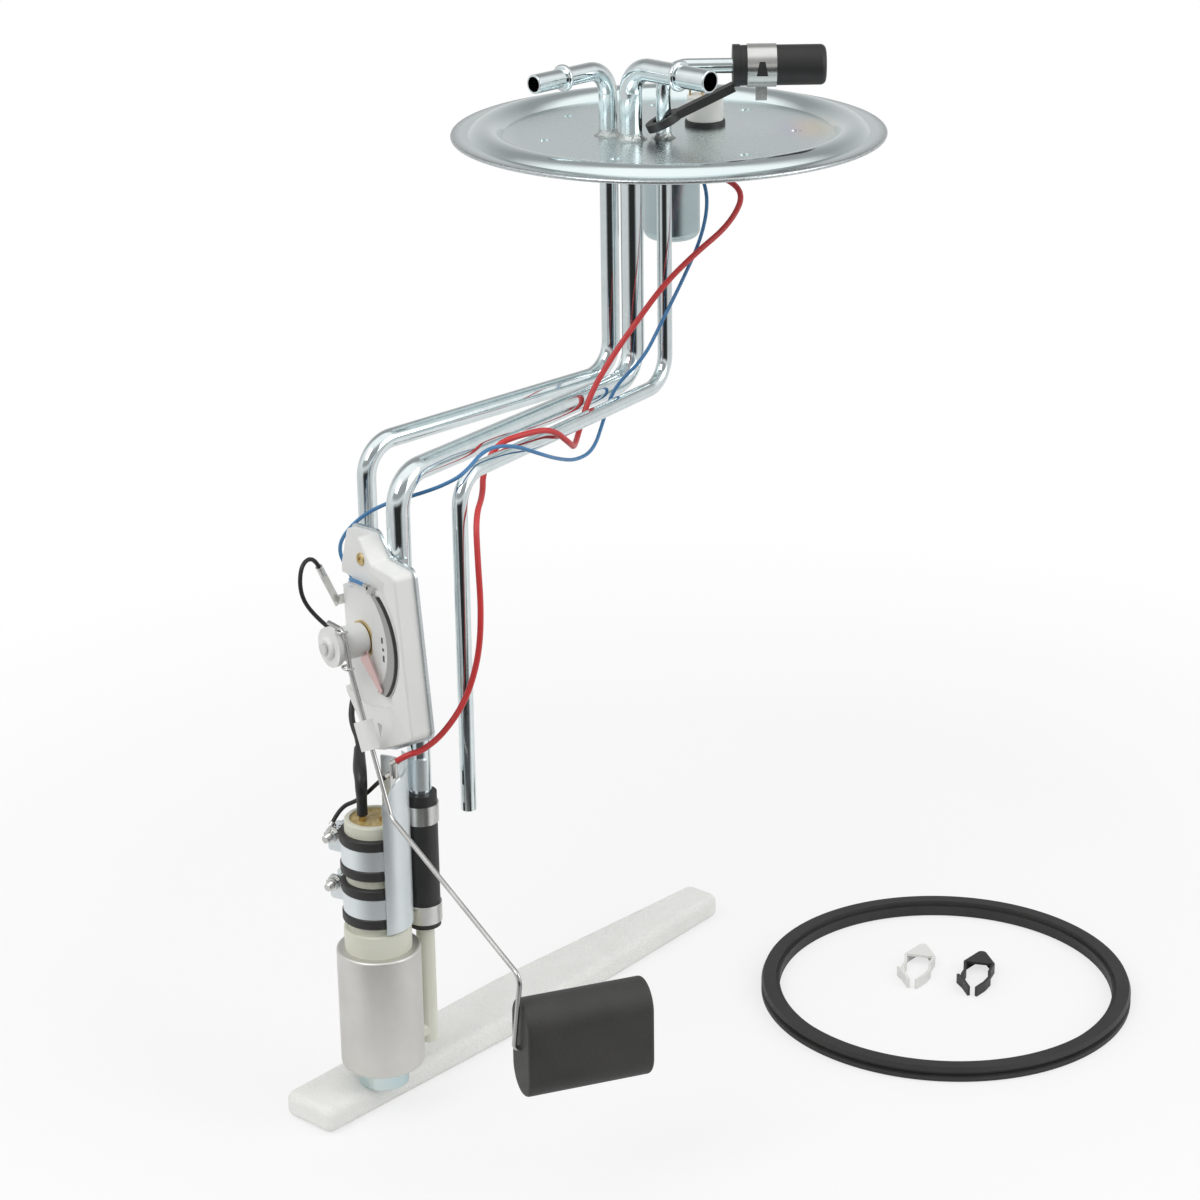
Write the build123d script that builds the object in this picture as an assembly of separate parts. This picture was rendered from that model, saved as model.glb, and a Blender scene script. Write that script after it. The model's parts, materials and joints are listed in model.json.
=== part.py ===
from build123d import *
import os
from math import atan2, cos, degrees, hypot, pi, radians, sin, sqrt, tan

os.makedirs("parts", exist_ok=True)

# Cover: pressed sheet, seat plane at z = 0, centred on the z axis
SHEET = 1.8
COVER_RADIUS = 92.5
BEAD_RADIUS = 78.0
BEAD_ARC = 9.2
BEAD_CREST = 5.2
PLATE_STEP = 1.0
DIMPLE_CIRCLE = 54.0
DIMPLE_ANGLES = (142, 95, 50, -1, -56, -115, -166)
DIMPLE_RADIUS = 3.0
DIMPLE_DEPTH = 0.6

# Tubes
TUBE_WALL = 0.8
RETURN_RADIUS = 3.97
SUPPLY_RADIUS = 4.76
VENT_RADIUS = 3.18
RETURN_AT = (-25.5, -5.0)
SUPPLY_AT = (-16.0, -13.5)
VENT_AT = (-2.3, -11.5)
RETURN_TOP = 29.4
SUPPLY_TOP = 31.5
VENT_TOP = 31.0
NOZZLE_RETURN_ANGLE = 226.0
NOZZLE_SUPPLY_ANGLE = -46.0
NOZZLE_RETURN_REACH = 44.0
NOZZLE_SUPPLY_REACH = 46.0
NOZZLE_LENGTH = 16.0
NOZZLE_BEAD_HEIGHT = 1.6
NOZZLE_BEAD_WIDTH = 2.6
RUN_LEVEL = -103.0
RUN_DROP = 1.6
RETURN_LEG = (-126.0, -103.5)
SUPPLY_LEG = (-111.0, -144.3)
VENT_LEG = (-87.0, -136.4)
RETURN_END = -196.0
VENT_END = -250.0
TOP_BEND = 11.0
RUN_BEND = 14.0
BRAZE_HEIGHT = 3.2
BRAZE_SPREAD = 2.2

# Vent cap, its clamp and its tether
CAP_START = 29.5
CAP_LENGTH = 36.0
CAP_RADIUS = 8.4
CAP_DEPTH = 22.0
CAP_CLAMP_WIDTH = 12.2
CAP_CLAMP_SHEET = 0.6
TETHER_RING_RADIUS = 7.8
TETHER_RING_LEVEL = 8.0
TETHER_WIDTH = 6.4
TETHER_THICKNESS = 3.4
TETHER_COLLAR_WIDTH = 3.0

# Electrical feed-through
CONNECTOR_AT = (16.0, 14.0)
CONNECTOR_RADIUS = 7.8
CONNECTOR_HEIGHT = 10.5
GASKET_RADIUS = 8.7
GASKET_HEIGHT = 2.2
CONNECTOR_NECK = 5.5
CONNECTOR_DROP = 9.0
BLADE_WIDTH = 4.8
BLADE_THICKNESS = 0.8
BLADE_RISE = 5.0
BLADE_SPACING = 5.2

# Roll-over valve under the cover
VALVE_AT = (1.8, 27.0)
VALVE_RADIUS = 12.4
VALVE_DEPTH = 51.0
VALVE_WALL = 0.8
VALVE_FLANGE = 13.4
BALL_RADIUS = 5.5
BALL_LIFT = 4.0
SEAT_RADIUS = 3.0
NIPPLE_RADIUS = 2.4

# Level sender: its own frame lies on the floor of the housing, at the pivot
SENDER_TURN = 36.0
SENDER_AT = (-127.22, -137.29, -173.6)
PLATE_SHEET = 1.2
FLOOR = 3.0
HOUSING_DEPTH = 6.0
SHELF_HEIGHT = 2.0
RECESS_AT = (3.5, 4.7)
RECESS_RADIUS = 31.9
HOUSING_POINTS = (
    (-9, 45), (9, 47), (17, 38), (34, 37.5), (43, -29), (16, -43), (6, -46), (-12, -26), (-14.5, 28),
)
RAISED_POINTS = (
    (8, 60), (8, 44.7), (17.5, 33.7), (26, 32.4), (25.3, 27.8), (20, 20), (20, -15), (28.5, -15), (30, -22),
    (22, -40), (22, -60), (60, -60), (60, 60),
)
SHELF_POINTS = ((-30, -24), (29, -24), (30, -22), (22, -40), (22, -60), (-30, -60))
PLATE_MARGIN = 1.2
RIVET_AT = (0.4, 34.1)
BLIND_RIVET_AT = (27.0, -29.0)
BLIND_DEPTH = 3.0
RIVET_RADIUS = 1.6
CARD_RADIUS = 27.2
CARD_SHEET = 1.2
WINDING_HEIGHT = 1.4
PIVOT_RADIUS = 1.5
RUNNING_GAP = 0.05
HUB_RADIUS = 6.9
HUB_DISC_RADIUS = 8.3
WASHER_RADIUS = 7.6
ARM_RADIUS = 1.0
ARM_LEVEL = 13.0
ARM_BEND = (36.4, -62.4)
ARM_ELBOW = (125.0, -97.0)
ARM_HOOK = (119.5, -130.5)
CLIP_SIZE = (9.0, 12.0, 4.8)

# Float
FLOAT_LENGTH = 52.0
FLOAT_HEIGHT = 41.0
FLOAT_THICKNESS = 21.0
FLOAT_TURN = 20.0
FLOAT_GAP = 1.6

# Pump
PUMP_AT = (-124.8, -158.0)
HOSE_AT = (-106.3, -144.0)
CAP_TOP = -243.0
CAP_BASE = -250.0
BODY_RADIUS = 12.0
COLLAR_RADIUS = 13.9
COLLAR_TOP = -291.0
SHELL_RADIUS = 17.4
SHELL_SHEET = 0.8
SHELL_TOP = -301.0
SHELL_BASE = -355.0
INLET_RADIUS = 10.5
INLET_DEPTH = 9.0
ISOLATOR_SHEET = 1.0
ISOLATOR_LIP = 2.2
STRAP_SHEET = 0.7
STRAP_WIDTH = 8.6
UPPER_STRAP_DROP = 7.2
STRAP_SPACING = 21.6
STRAP_GAP = 5.0
LUG_TURN = -28.0
LUG_RISE = 4.3
LUG_REACH = 3.5
RING_SHEET = 0.8
LIP_WIDTH = 4.6
BRACKET_SHEET = 1.1
BRACKET_TOP = -212.0
BRACKET_BASE = -290.0
BRACKET_START = -71.0
BRACKET_END = 78.0
BRACKET_EDGE = ((-0.6, -20.0), (1.6, -14.0), (7.6, -10.2), (12.4, -5.0))
BRACKET_CORNERS = ((13.6, -4.6), (15.2, -8.0), (16.0, 3.0), (-30.0, 3.0), (-30.0, -20.0))
BRACKET_CUT = 30.0
BRACKET_REAR = 18.0
WEB_BASE = -236.0
WEB_HEIGHT = 13.5
SCREW_RADIUS = 1.7
SCREW_LENGTH = 13.0

# Outlet pipe, hose and clamps
PIPE_RADIUS = 3.9
BARB_RADIUS = 4.75
PIPE_BORE = 1.9
CHECK_BORE = 2.8
CHECK_RADIUS = 2.5
CHECK_DEPTH = 18.0
PIPE_INSERT = 18.5
PIPE_FOOT = 6.0
PORT_RADIUS = 3.6
PORT_RISE = 8.0
HOSE_RADIUS = 6.8
HOSE_TOP = -238.5
HOSE_BASE = -298.5
CLAMP_SHEET = 0.6
CLAMP_WIDTH = 8.2
CLAMP_INSETS = (8.6, 6.4)
CLAMP_TURN = 75.0
SUPPLY_END = -264.0

# Motor and pumping section
SHAFT_RADIUS = 1.5
MAGNET_SHEET = 6.5
MOTOR_LENGTH = 30.0
MOTOR_RISE = 5.0
COMMUTATOR_RADIUS = 5.0
VOLUTE_WALL = 4.55
VOLUTE_HEIGHT = 13.2
INTAKE_RADIUS = 1.2
IMPELLER_HEIGHT = 2.4
ROTOR_GAP = 0.35
PRESS_GAP = 0.05

# Strainer
SOCK_LOW = (-156.0, -175.8)
SOCK_HIGH = (15.2, 17.5)
SOCK_WIDTH = 31.0
SOCK_TIP_WIDTH = 18.0
SOCK_THICKNESS = 11.5

# Wires
RED_RADIUS = 1.25
BLUE_RADIUS = 0.8
LEAD_RADIUS = 1.3
THIN_LEAD_RADIUS = 0.9
SLEEVE_RADIUS = 2.3
CRIMP_FOOT = (-115.2, -166.4, -221.8)

RED_POINTS = (
    (18.5, 14, -9), (18.5, 14, -20), (33, 2.5, -25.5), (26, -9.5, -37), (10, -22, -47), (-3, -29, -58),
    (-14, -36, -71), (-25, -42, -85), (-34.8, -50.5, -99.2), (-39.4, -56.6, -112.7),
    (-41.7, -70.5, -116.2), (-43, -83.3, -110.2), (-50.7, -91.7, -100.7), (-62, -102.3, -99.6),
    (-72.7, -107.8, -101.7), (-78.4, -112.1, -112.2), (-78.1, -124.2, -117.7), (-80.6, -140, -121),
    (-80, -147, -137), (-79, -150, -158), (-80.5, -152, -177), (-86, -155, -194), (-95, -160, -206),
    (-103.4, -165.6, -211), (-109.2, -168.2, -211.4), (-113.5, -167, -214.6),
)
BLUE_POINTS = (
    (13.5, 14, -9), (13.5, 14, -19), (17, 1, -28), (14, -12, -41), (5.5, -23, -57), (-4, -30, -74),
    (-12, -34.5, -89), (-24.6, -35.6, -100.7), (-29, -41.7, -112.7), (-33.5, -61, -120.5),
    (-41, -72, -121.3), (-48.8, -89.4, -114.6), (-55.8, -102.9, -107.7), (-66.3, -114, -100.2),
    (-76.8, -122.3, -98.8), (-84.8, -139, -103.9), (-92.5, -137.5, -108.6), (-99.7, -135.5, -112),
    (-108.7, -135, -114.9), (-116.1, -133, -117.6), (-126.7, -126, -125.2), (-135.1, -121, -135.2),
    (-137.5, -116.9, -143.6), (-134.2, -118.9, -150.6), (-131.6, -125.6, -152.1), (-132.3, -132.4, -150),
    (-129.5, -137.7, -148.6), (-125.4, -143.4, -148.6),
)
LEAD_POINTS = (
    (-124, -131.2, -187.6), (-131.7, -120.1, -198.1), (-134.8, -124.9, -210.1), (-133.7, -131, -214.7),
    (-131, -136.5, -218.6), (-129, -159.5, -226), (-129, -159.5, -241.8),
)
GROUND_POINTS = (
    (-118, -164.4, -222.2), (-122, -160.8, -226.6), (-126.6, -156.2, -233.1),
    (-131.6, -152.5, -238.5), (-138.5, -150.5, -242), (-141.7, -153.1, -247.5),
)

# Seal and clips laid beside the module
SEAL_AT = (120.0, -65.0)
SEAL_RADIUS = 82.0
SEAL_WIDTH = 8.2
SEAL_HEIGHT = 6.5
CLIP_AT = ((136.0, -53.0), (110.0, -45.0))
CLIP_WALL = 1.2
CLIP_HEIGHT = 4.5
CLIP_TURN = -14

PLATE_TOP = SHEET - PLATE_STEP
PLATE_UNDER = -PLATE_STEP
FLOOR_LEVEL = SHELL_BASE - INLET_DEPTH - SOCK_THICKNESS
STRAP_LEVELS = (CAP_BASE - UPPER_STRAP_DROP, CAP_BASE - UPPER_STRAP_DROP - STRAP_SPACING)
CLAMP_LEVELS = (HOSE_TOP - CLAMP_INSETS[0], HOSE_BASE + CLAMP_INSETS[1])
BRACKET_INNER = BODY_RADIUS + ISOLATOR_SHEET + STRAP_SHEET
SHELL_INNER = SHELL_RADIUS - SHELL_SHEET
VOLUTE_TOP = SHELL_BASE + SHELL_SHEET + VOLUTE_HEIGHT
PORT_LEVEL = SHELL_BASE + PORT_RISE
PIPE_BASE = PORT_LEVEL - PIPE_FOOT
PIPE_TOP = HOSE_BASE + PIPE_INSERT
CHECK_SEAT = PIPE_TOP - CHECK_DEPTH
IMPELLER_RADIUS = SHELL_INNER - VOLUTE_WALL
MOTOR_BASE = VOLUTE_TOP + MOTOR_RISE
MOTOR_TOP = MOTOR_BASE + MOTOR_LENGTH
MAGNET_RADIUS = SHELL_INNER - 2 * PRESS_GAP
ARMATURE_RADIUS = MAGNET_RADIUS - MAGNET_SHEET - 2 * ROTOR_GAP


AT_FOOT = (Align.CENTER, Align.CENTER, Align.MIN)


def save(name, shape):
    shape.label = name
    export_step(shape, f"parts/{name}.step")


def group(*shapes):
    return Compound(children=[solid for shape in shapes for solid in shape.solids()])


def rod(start, end, radius):
    """A round bar between two points."""
    way = Vector(*end) - Vector(*start)
    return Plane(origin=start, z_dir=way) * Cylinder(radius, way.length, align=AT_FOOT)


def ring(outer, inner, low, high, at=(0, 0)):
    """A flat-ended ring about a vertical axis."""
    face = Circle(outer) - Circle(inner) if inner else Circle(outer)
    return Pos(at[0], at[1], low) * extrude(face, high - low)


def wedge(radius, start, end):
    """The sector of a disc between two angles, in degrees, no wider than 180."""
    middle = (start + end) / 2
    reach = radius / cos(radians((end - start) / 4))
    corners = [(0, 0)]
    corners += [(reach * cos(radians(a)), reach * sin(radians(a))) for a in (start, (start + middle) / 2)]
    corners += [(reach * cos(radians(a)), reach * sin(radians(a))) for a in (middle, (middle + end) / 2, end)]
    return make_face(Polyline(*corners, close=True))


def pipe(points, radii, outer, inner=0.0):
    """A round tube along straight runs joined by tangent arcs."""
    path = FilletPolyline(*points, radius=radii)
    start = Plane(origin=path @ 0, z_dir=path % 0)
    solid = sweep(start * Circle(outer), path=path)
    if inner:
        solid -= sweep(start * Circle(inner), path=path)
    return solid


def cord_radii(points, name):
    """The largest arcs that a cord's runs leave room for."""
    nodes = [Vector(*point) for point in points]
    radii = []
    for before, here, after in zip(nodes, nodes[1:], nodes[2:]):
        turn = (here - before).get_angle(after - here)
        shorter = min((here - before).length, (after - here).length)
        radii.append(0.45 * shorter / tan(radians(turn / 2)))
    print(name, "radii", [round(radius, 1) for radius in radii])
    return radii


def cord(points, radius, name):
    radii = cord_radii(points, name)
    solid = pipe(points, radii, radius)
    length = FilletPolyline(*points, radius=radii).length
    print(name, "length", round(length, 1), "volume ratio", round(solid.volume / (pi * radius**2 * length), 4))
    return solid


def nozzle(tip, way, radius):
    """The retaining bead formed in a tube behind its nozzle."""
    bead = Cylinder(radius + NOZZLE_BEAD_HEIGHT, NOZZLE_BEAD_WIDTH)
    bead = fillet(bead.edges().filter_by(GeomType.CIRCLE), NOZZLE_BEAD_WIDTH * 0.42)
    bead -= Cylinder(radius - TUBE_WALL / 2, 2 * NOZZLE_BEAD_WIDTH)
    centre = Vector(*tip) - way * (NOZZLE_LENGTH + NOZZLE_BEAD_WIDTH / 2)
    return Plane(origin=centre, z_dir=way) * bead


def top_tube(axis_at, top, angle, reach, leg, end, radius, tail=()):
    """A tube from its nozzle, through the cover, along its run and down its leg."""
    way = Vector(cos(radians(angle)), sin(radians(angle)), 0)
    tip = Vector(*axis_at, top) + way * reach
    foot = tail[-1][:2] if tail else leg
    points = [tip, (*axis_at, top), (*axis_at, RUN_LEVEL), (*leg, RUN_LEVEL), *tail, (*foot, end)]
    radii = [TOP_BEND, RUN_BEND, RUN_BEND] + [30.0 for _ in tail]
    tube = pipe(points, radii, radius, radius - TUBE_WALL)
    lip = tube.edges().filter_by(GeomType.CIRCLE).sort_by_distance(tip)
    outer = [edge for edge in lip[:4] if abs(edge.radius - radius) < 0.01][:1]
    return fillet(outer, TUBE_WALL * 0.45) + nozzle(tip, way, radius)


def cover():
    """The pressed cover: flat lip, arched bead and recessed centre."""
    top_centre = BEAD_CREST - BEAD_ARC
    inner_arc = BEAD_ARC - SHEET

    def half_width(arc, level):
        return sqrt(arc**2 - (level - top_centre) ** 2)

    lip_top = BEAD_RADIUS + half_width(BEAD_ARC, SHEET)
    lip_under = BEAD_RADIUS + half_width(inner_arc, 0)
    foot_top = BEAD_RADIUS - half_width(BEAD_ARC, PLATE_TOP)
    foot_under = BEAD_RADIUS - half_width(inner_arc, PLATE_UNDER)
    rim = COVER_RADIUS - SHEET / 2
    section = [
        Line((0, PLATE_UNDER), (foot_under, PLATE_UNDER)),
        ThreePointArc((foot_under, PLATE_UNDER), (BEAD_RADIUS, BEAD_CREST - SHEET), (lip_under, 0)),
        Line((lip_under, 0), (rim, 0)),
        ThreePointArc((rim, 0), (COVER_RADIUS, SHEET / 2), (rim, SHEET)),
        Line((rim, SHEET), (lip_top, SHEET)),
        ThreePointArc((lip_top, SHEET), (BEAD_RADIUS, BEAD_CREST), (foot_top, PLATE_TOP)),
        Line((foot_top, PLATE_TOP), (0, PLATE_TOP)),
        Line((0, PLATE_TOP), (0, PLATE_UNDER)),
    ]
    plate = revolve(Plane.XZ * make_face(section), Axis.Z)
    for angle in DIMPLE_ANGLES:
        spot = Pos(DIMPLE_CIRCLE * cos(radians(angle)), DIMPLE_CIRCLE * sin(radians(angle)))
        plate += spot * Pos(0, 0, PLATE_UNDER - DIMPLE_DEPTH / 2) * Cylinder(DIMPLE_RADIUS, DIMPLE_DEPTH)
        dimple = Cylinder(DIMPLE_RADIUS - DIMPLE_DEPTH, DIMPLE_DEPTH)
        plate -= spot * Pos(0, 0, PLATE_TOP - DIMPLE_DEPTH / 2) * dimple
    for at, radius in ((RETURN_AT, RETURN_RADIUS), (SUPPLY_AT, SUPPLY_RADIUS), (VENT_AT, VENT_RADIUS)):
        plate -= ring(radius, 0, PLATE_UNDER - 1, PLATE_TOP + 1, at)
    return plate - ring(CONNECTOR_NECK, 0, PLATE_UNDER - 1, PLATE_TOP + 1, CONNECTOR_AT)


def braze(at, radius):
    """A concave fillet of braze round a tube, on top of the cover."""
    section = make_face([
        Line((radius, 0), (radius + BRAZE_SPREAD, 0)),
        ThreePointArc(
            (radius + BRAZE_SPREAD, 0),
            (radius + BRAZE_SPREAD * 0.3, BRAZE_HEIGHT * 0.3),
            (radius, BRAZE_HEIGHT),
        ),
        Line((radius, BRAZE_HEIGHT), (radius, 0)),
    ])
    return Pos(*at, PLATE_TOP) * revolve(Plane.XZ * section, Axis.Z)


def brazes():
    spots = ((RETURN_AT, RETURN_RADIUS), (SUPPLY_AT, SUPPLY_RADIUS), (VENT_AT, VENT_RADIUS))
    beads = [braze(at, radius) for at, radius in spots]
    beads[0] -= beads[1]
    beads[0] -= ring(SUPPLY_RADIUS, 0, PLATE_TOP, PLATE_TOP + BRAZE_HEIGHT, SUPPLY_AT)
    beads[1] -= ring(RETURN_RADIUS, 0, PLATE_TOP, PLATE_TOP + BRAZE_HEIGHT, RETURN_AT)
    return group(*beads)


def vent_cap():
    """A blind rubber cap that lies along x over the vent tube's top end."""
    cap = Cylinder(CAP_RADIUS, CAP_LENGTH, align=(Align.CENTER, Align.CENTER, Align.MIN))
    cap = fillet(cap.edges().filter_by(GeomType.CIRCLE).sort_by(Axis.Z)[-1], 2.4)
    cap -= Cylinder(VENT_RADIUS, CAP_DEPTH, align=(Align.CENTER, Align.CENTER, Align.MIN))
    return Plane(origin=(CAP_START, VENT_AT[1], VENT_TOP), z_dir=(1, 0, 0)) * cap


def along_cap(shape, start):
    return Plane(origin=(CAP_START + start, VENT_AT[1], VENT_TOP), x_dir=(0, -1, 0), z_dir=(1, 0, 0)) * shape


def cap_clamp():
    """A spring band with a wedge-shaped window in front and a tongue below it."""
    outer = CAP_RADIUS + CAP_CLAMP_SHEET
    band = extrude(Circle(outer) - Circle(CAP_RADIUS), CAP_CLAMP_WIDTH)
    middle = CAP_CLAMP_WIDTH / 2
    corners = ((-3, middle - 1.2), (-3, middle + 1.2), (3, middle + 2.4), (3, middle - 2.4))
    window = make_face(Polyline(*corners, close=True))
    band -= Plane(origin=(0, 0, 0), x_dir=(0, 1, 0), z_dir=(1, 0, 0)) * extrude(window, outer * 2)
    tongue = Pos(0, outer + 2.6, middle) * Box(CAP_CLAMP_SHEET, 6.4, 4.8)
    return along_cap(band + tongue, TETHER_COLLAR_WIDTH)


def cap_tether():
    """A moulded strap: a ring round the vent tube, a flat web and a collar behind the cap's mouth."""
    collar_at = (CAP_START - TETHER_COLLAR_WIDTH / 2, VENT_AT[1], VENT_TOP)
    rise = VENT_TOP - CAP_RADIUS - TETHER_RING_LEVEL
    reach = collar_at[0] - VENT_AT[0]
    slope = degrees(atan2(rise, reach))
    face = Circle(TETHER_RING_RADIUS) - Circle(VENT_RADIUS / cos(radians(slope)) + 0.9)
    place = Location((*VENT_AT, TETHER_RING_LEVEL), (0, -slope, 0))
    eye = place * extrude(face, TETHER_THICKNESS / 2, both=True)
    start = TETHER_RING_RADIUS - 1.2
    from_start = (Align.MIN, Align.CENTER, Align.CENTER)
    web = Box(hypot(rise, reach) - start - 1.0, TETHER_WIDTH, TETHER_THICKNESS, align=from_start)
    web = Location((*VENT_AT, TETHER_RING_LEVEL), (0, -slope, 0)) * (Pos(start, 0, 0) * web)
    collar = extrude(Circle(CAP_RADIUS + 0.4) - Circle(VENT_RADIUS), TETHER_COLLAR_WIDTH)
    return eye + web + along_cap(collar, -TETHER_COLLAR_WIDTH)


def connector():
    top = PLATE_TOP + GASKET_HEIGHT
    body = ring(CONNECTOR_RADIUS, 0, top, top + CONNECTOR_HEIGHT, CONNECTOR_AT)
    body = fillet(body.edges().filter_by(GeomType.CIRCLE).sort_by(Axis.Z)[-1], 0.8)
    neck = ring(CONNECTOR_NECK, 0, -CONNECTOR_DROP, top, CONNECTOR_AT)
    gasket = ring(GASKET_RADIUS, CONNECTOR_NECK, PLATE_TOP, top, CONNECTOR_AT)
    rims = gasket.edges().filter_by(GeomType.CIRCLE).group_by(Axis.Z)[-1]
    gasket = fillet(rims.sort_by(SortBy.RADIUS)[-1], 0.7)
    blades = []
    for side in (-1, 0):
        at = (CONNECTOR_AT[0] + side * BLADE_SPACING - 1.2, CONNECTOR_AT[1] + 1.0)
        blade = Box(BLADE_THICKNESS, BLADE_WIDTH, BLADE_RISE, align=(Align.CENTER, Align.CENTER, Align.MIN))
        blade = chamfer(blade.edges().filter_by(Axis.X).group_by(Axis.Z)[-1], 1.2)
        blades.append(Pos(*at, top + CONNECTOR_HEIGHT) * blade)
    return body + neck, gasket, group(*blades)


def valve():
    """The roll-over valve: cup, cage with its seat, ball and outlet nipple."""
    base = PLATE_UNDER - VALVE_DEPTH
    cup = ring(VALVE_RADIUS, 0, base, PLATE_UNDER, VALVE_AT)
    cup = fillet(cup.edges().filter_by(GeomType.CIRCLE).sort_by(Axis.Z)[0], 4.0)
    core = ring(VALVE_RADIUS - VALVE_WALL, 0, base + VALVE_WALL, PLATE_UNDER, VALVE_AT)
    core = fillet(core.edges().filter_by(GeomType.CIRCLE).sort_by(Axis.Z)[0], 4.0 - VALVE_WALL)
    lip = ring(VALVE_FLANGE, VALVE_RADIUS - VALVE_WALL, PLATE_UNDER - VALVE_WALL, PLATE_UNDER, VALVE_AT)
    cup = (cup - core) + lip
    port = (VALVE_AT[0], VALVE_AT[1] + VALVE_RADIUS - 3, PLATE_UNDER - 37)
    cup -= rod(port, (port[0], port[1] + 6, port[2]), 2.5)
    cage_base = PLATE_UNDER - 30.0
    bore = BALL_RADIUS + ROTOR_GAP
    cage = ring(VALVE_RADIUS - VALVE_WALL, 0, cage_base, PLATE_UNDER, VALVE_AT)
    low_seat = cage_base + 2.5
    seat_rise = sqrt(BALL_RADIUS**2 - SEAT_RADIUS**2) + RUNNING_GAP
    ball_rest = low_seat + seat_rise
    high_seat = ball_rest + BALL_LIFT + seat_rise
    cage -= ring(bore, 0, low_seat, high_seat, VALVE_AT)
    cage -= ring(SEAT_RADIUS, 0, cage_base, high_seat + 2.5, VALVE_AT)
    cage -= ring(1.6, 0, high_seat, PLATE_UNDER - 4, VALVE_AT)
    ball = Pos(*VALVE_AT, ball_rest) * Sphere(BALL_RADIUS)
    level = PLATE_UNDER - 6.0
    way = Vector(VENT_AT[0] - VALVE_AT[0], VENT_AT[1] - VALVE_AT[1], 0).normalized()
    inside = Vector(*VALVE_AT, level) + way * 4
    outside = Vector(*VENT_AT, level) - way * (VENT_RADIUS - 1)
    nipple = rod(inside, outside, NIPPLE_RADIUS)
    hole = rod(inside - way * 5, outside, NIPPLE_RADIUS - TUBE_WALL)
    cage -= nipple + rod(inside - way * 5, inside, NIPPLE_RADIUS - TUBE_WALL)
    cup -= nipple
    nipple -= hole + ring(VENT_RADIUS, 0, level - 5, level + 5, VENT_AT)
    return cup, cage, ball, nipple


def sender_frame():
    turn = radians(SENDER_TURN)
    return Plane(origin=SENDER_AT, x_dir=(sin(turn), -cos(turn), 0), z_dir=(-cos(turn), -sin(turn), 0))


SENDER = sender_frame()


def in_sender(point):
    """A point of the world, in the sender's own frame."""
    return SENDER.to_local_coords(Vector(*point))


def housing_face(grow=0.0):
    face = make_face(Polyline(*HOUSING_POINTS, close=True))
    face = fillet(face.vertices(), 3.0)
    return offset(face, grow) if grow else face


def lift(face, low, high):
    """A flat face of the sender, raised from one level to another."""
    return Pos(0, 0, low) * extrude(face, high - low)


def wire_slot():
    """Where the blue wire comes through the plate and the floor of the housing."""
    corners = ((-20, 19.3), (-6.4, 19.3), (-6.4, 24.6), (-20, 24.6))
    slot = fillet(make_face(Polyline(*corners, close=True)).vertices(), 1.5)
    return lift(slot, -FLOOR - 2 * PLATE_SHEET, 0)


def region(points, low, high):
    """The part of the housing's outline that lies inside a polygon and outside the round recess."""
    recess = Pos(*RECESS_AT) * Circle(RECESS_RADIUS)
    return lift((housing_face() & make_face(Polyline(*points, close=True))) - recess, low, high)


def sender_housing():
    """The moulded housing: a floor, a raised wall along the recess's right side and a low shelf below it."""
    wall = region(RAISED_POINTS, 0, HOUSING_DEPTH).solids().sort_by(SortBy.VOLUME)[-1]
    wall = fillet(wall.edges().group_by(Axis.Z)[-1], 1.0)
    shelf = region(SHELF_POINTS, 0, SHELF_HEIGHT)
    window = make_face(Polyline((-2.0, 2.6), (2.2, 2.6), (0, -3.4), close=True))
    body = lift(housing_face(), -FLOOR, 0) + wall + shelf
    body -= Pos(12.9, -35.3, SHELF_HEIGHT - 1.5) * extrude(window, 3)
    body -= Pos(0, 0, -FLOOR) * Cylinder(PIVOT_RADIUS + 0.02, 4 * FLOOR)
    body -= Pos(*RIVET_AT) * Cylinder(RIVET_RADIUS, 4 * FLOOR)
    body -= Pos(*BLIND_RIVET_AT) * lift(Circle(RIVET_RADIUS), -FLOOR, BLIND_DEPTH)
    return body - wire_slot()


def sender_parts():
    """Each piece of the sender, in the sender's frame."""
    back = -FLOOR - PLATE_SHEET
    plate = lift(housing_face(PLATE_MARGIN), back, -FLOOR)
    plate -= Pos(0, 0, back) * Cylinder(PIVOT_RADIUS + 0.02, 3 * FLOOR)
    plate -= wire_slot()
    housing = sender_housing()
    rivets = []
    for at, top in ((RIVET_AT, 0.0), (BLIND_RIVET_AT, BLIND_DEPTH)):
        plate -= Pos(*at, back) * Cylinder(RIVET_RADIUS, 3 * FLOOR)
        shank = lift(Circle(RIVET_RADIUS), back, top)
        tail = lift(Circle(RIVET_RADIUS + 0.8), back - 0.9, back)
        rivets.append(Pos(*at) * (shank + tail))
    head = fillet(lift(Circle(RIVET_RADIUS + 1.1), 0, 0.7).edges().group_by(Axis.Z)[-1], 0.5)
    rivets[0] += Pos(*RIVET_AT) * (head - lift(Circle(RIVET_RADIUS - 0.7), 0, 1))
    card = Circle(CARD_RADIUS) & (Pos(18.8, 2) * Rectangle(21, 44))
    crescent = Circle(CARD_RADIUS) - Pos(-4.6, 1) * Circle(CARD_RADIUS - 1)
    crescent &= Pos(18, 2) * Rectangle(30, 41)
    crescent = max(crescent.faces(), key=lambda face: face.area)
    resistor = lift(card, 0, CARD_SHEET)
    winding = lift(crescent, CARD_SHEET, CARD_SHEET + WINDING_HEIGHT)
    terminal = Pos(10.2, 24.0, CARD_SHEET + 0.9) * Box(3.6, 3.0, 1.8)
    terminal += Pos(7.5, 25.0, 2.2) * (Rotation(0, 90, 0) * Cylinder(1.3, 2.8))
    return plate, housing, rivets, resistor, winding, terminal


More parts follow.
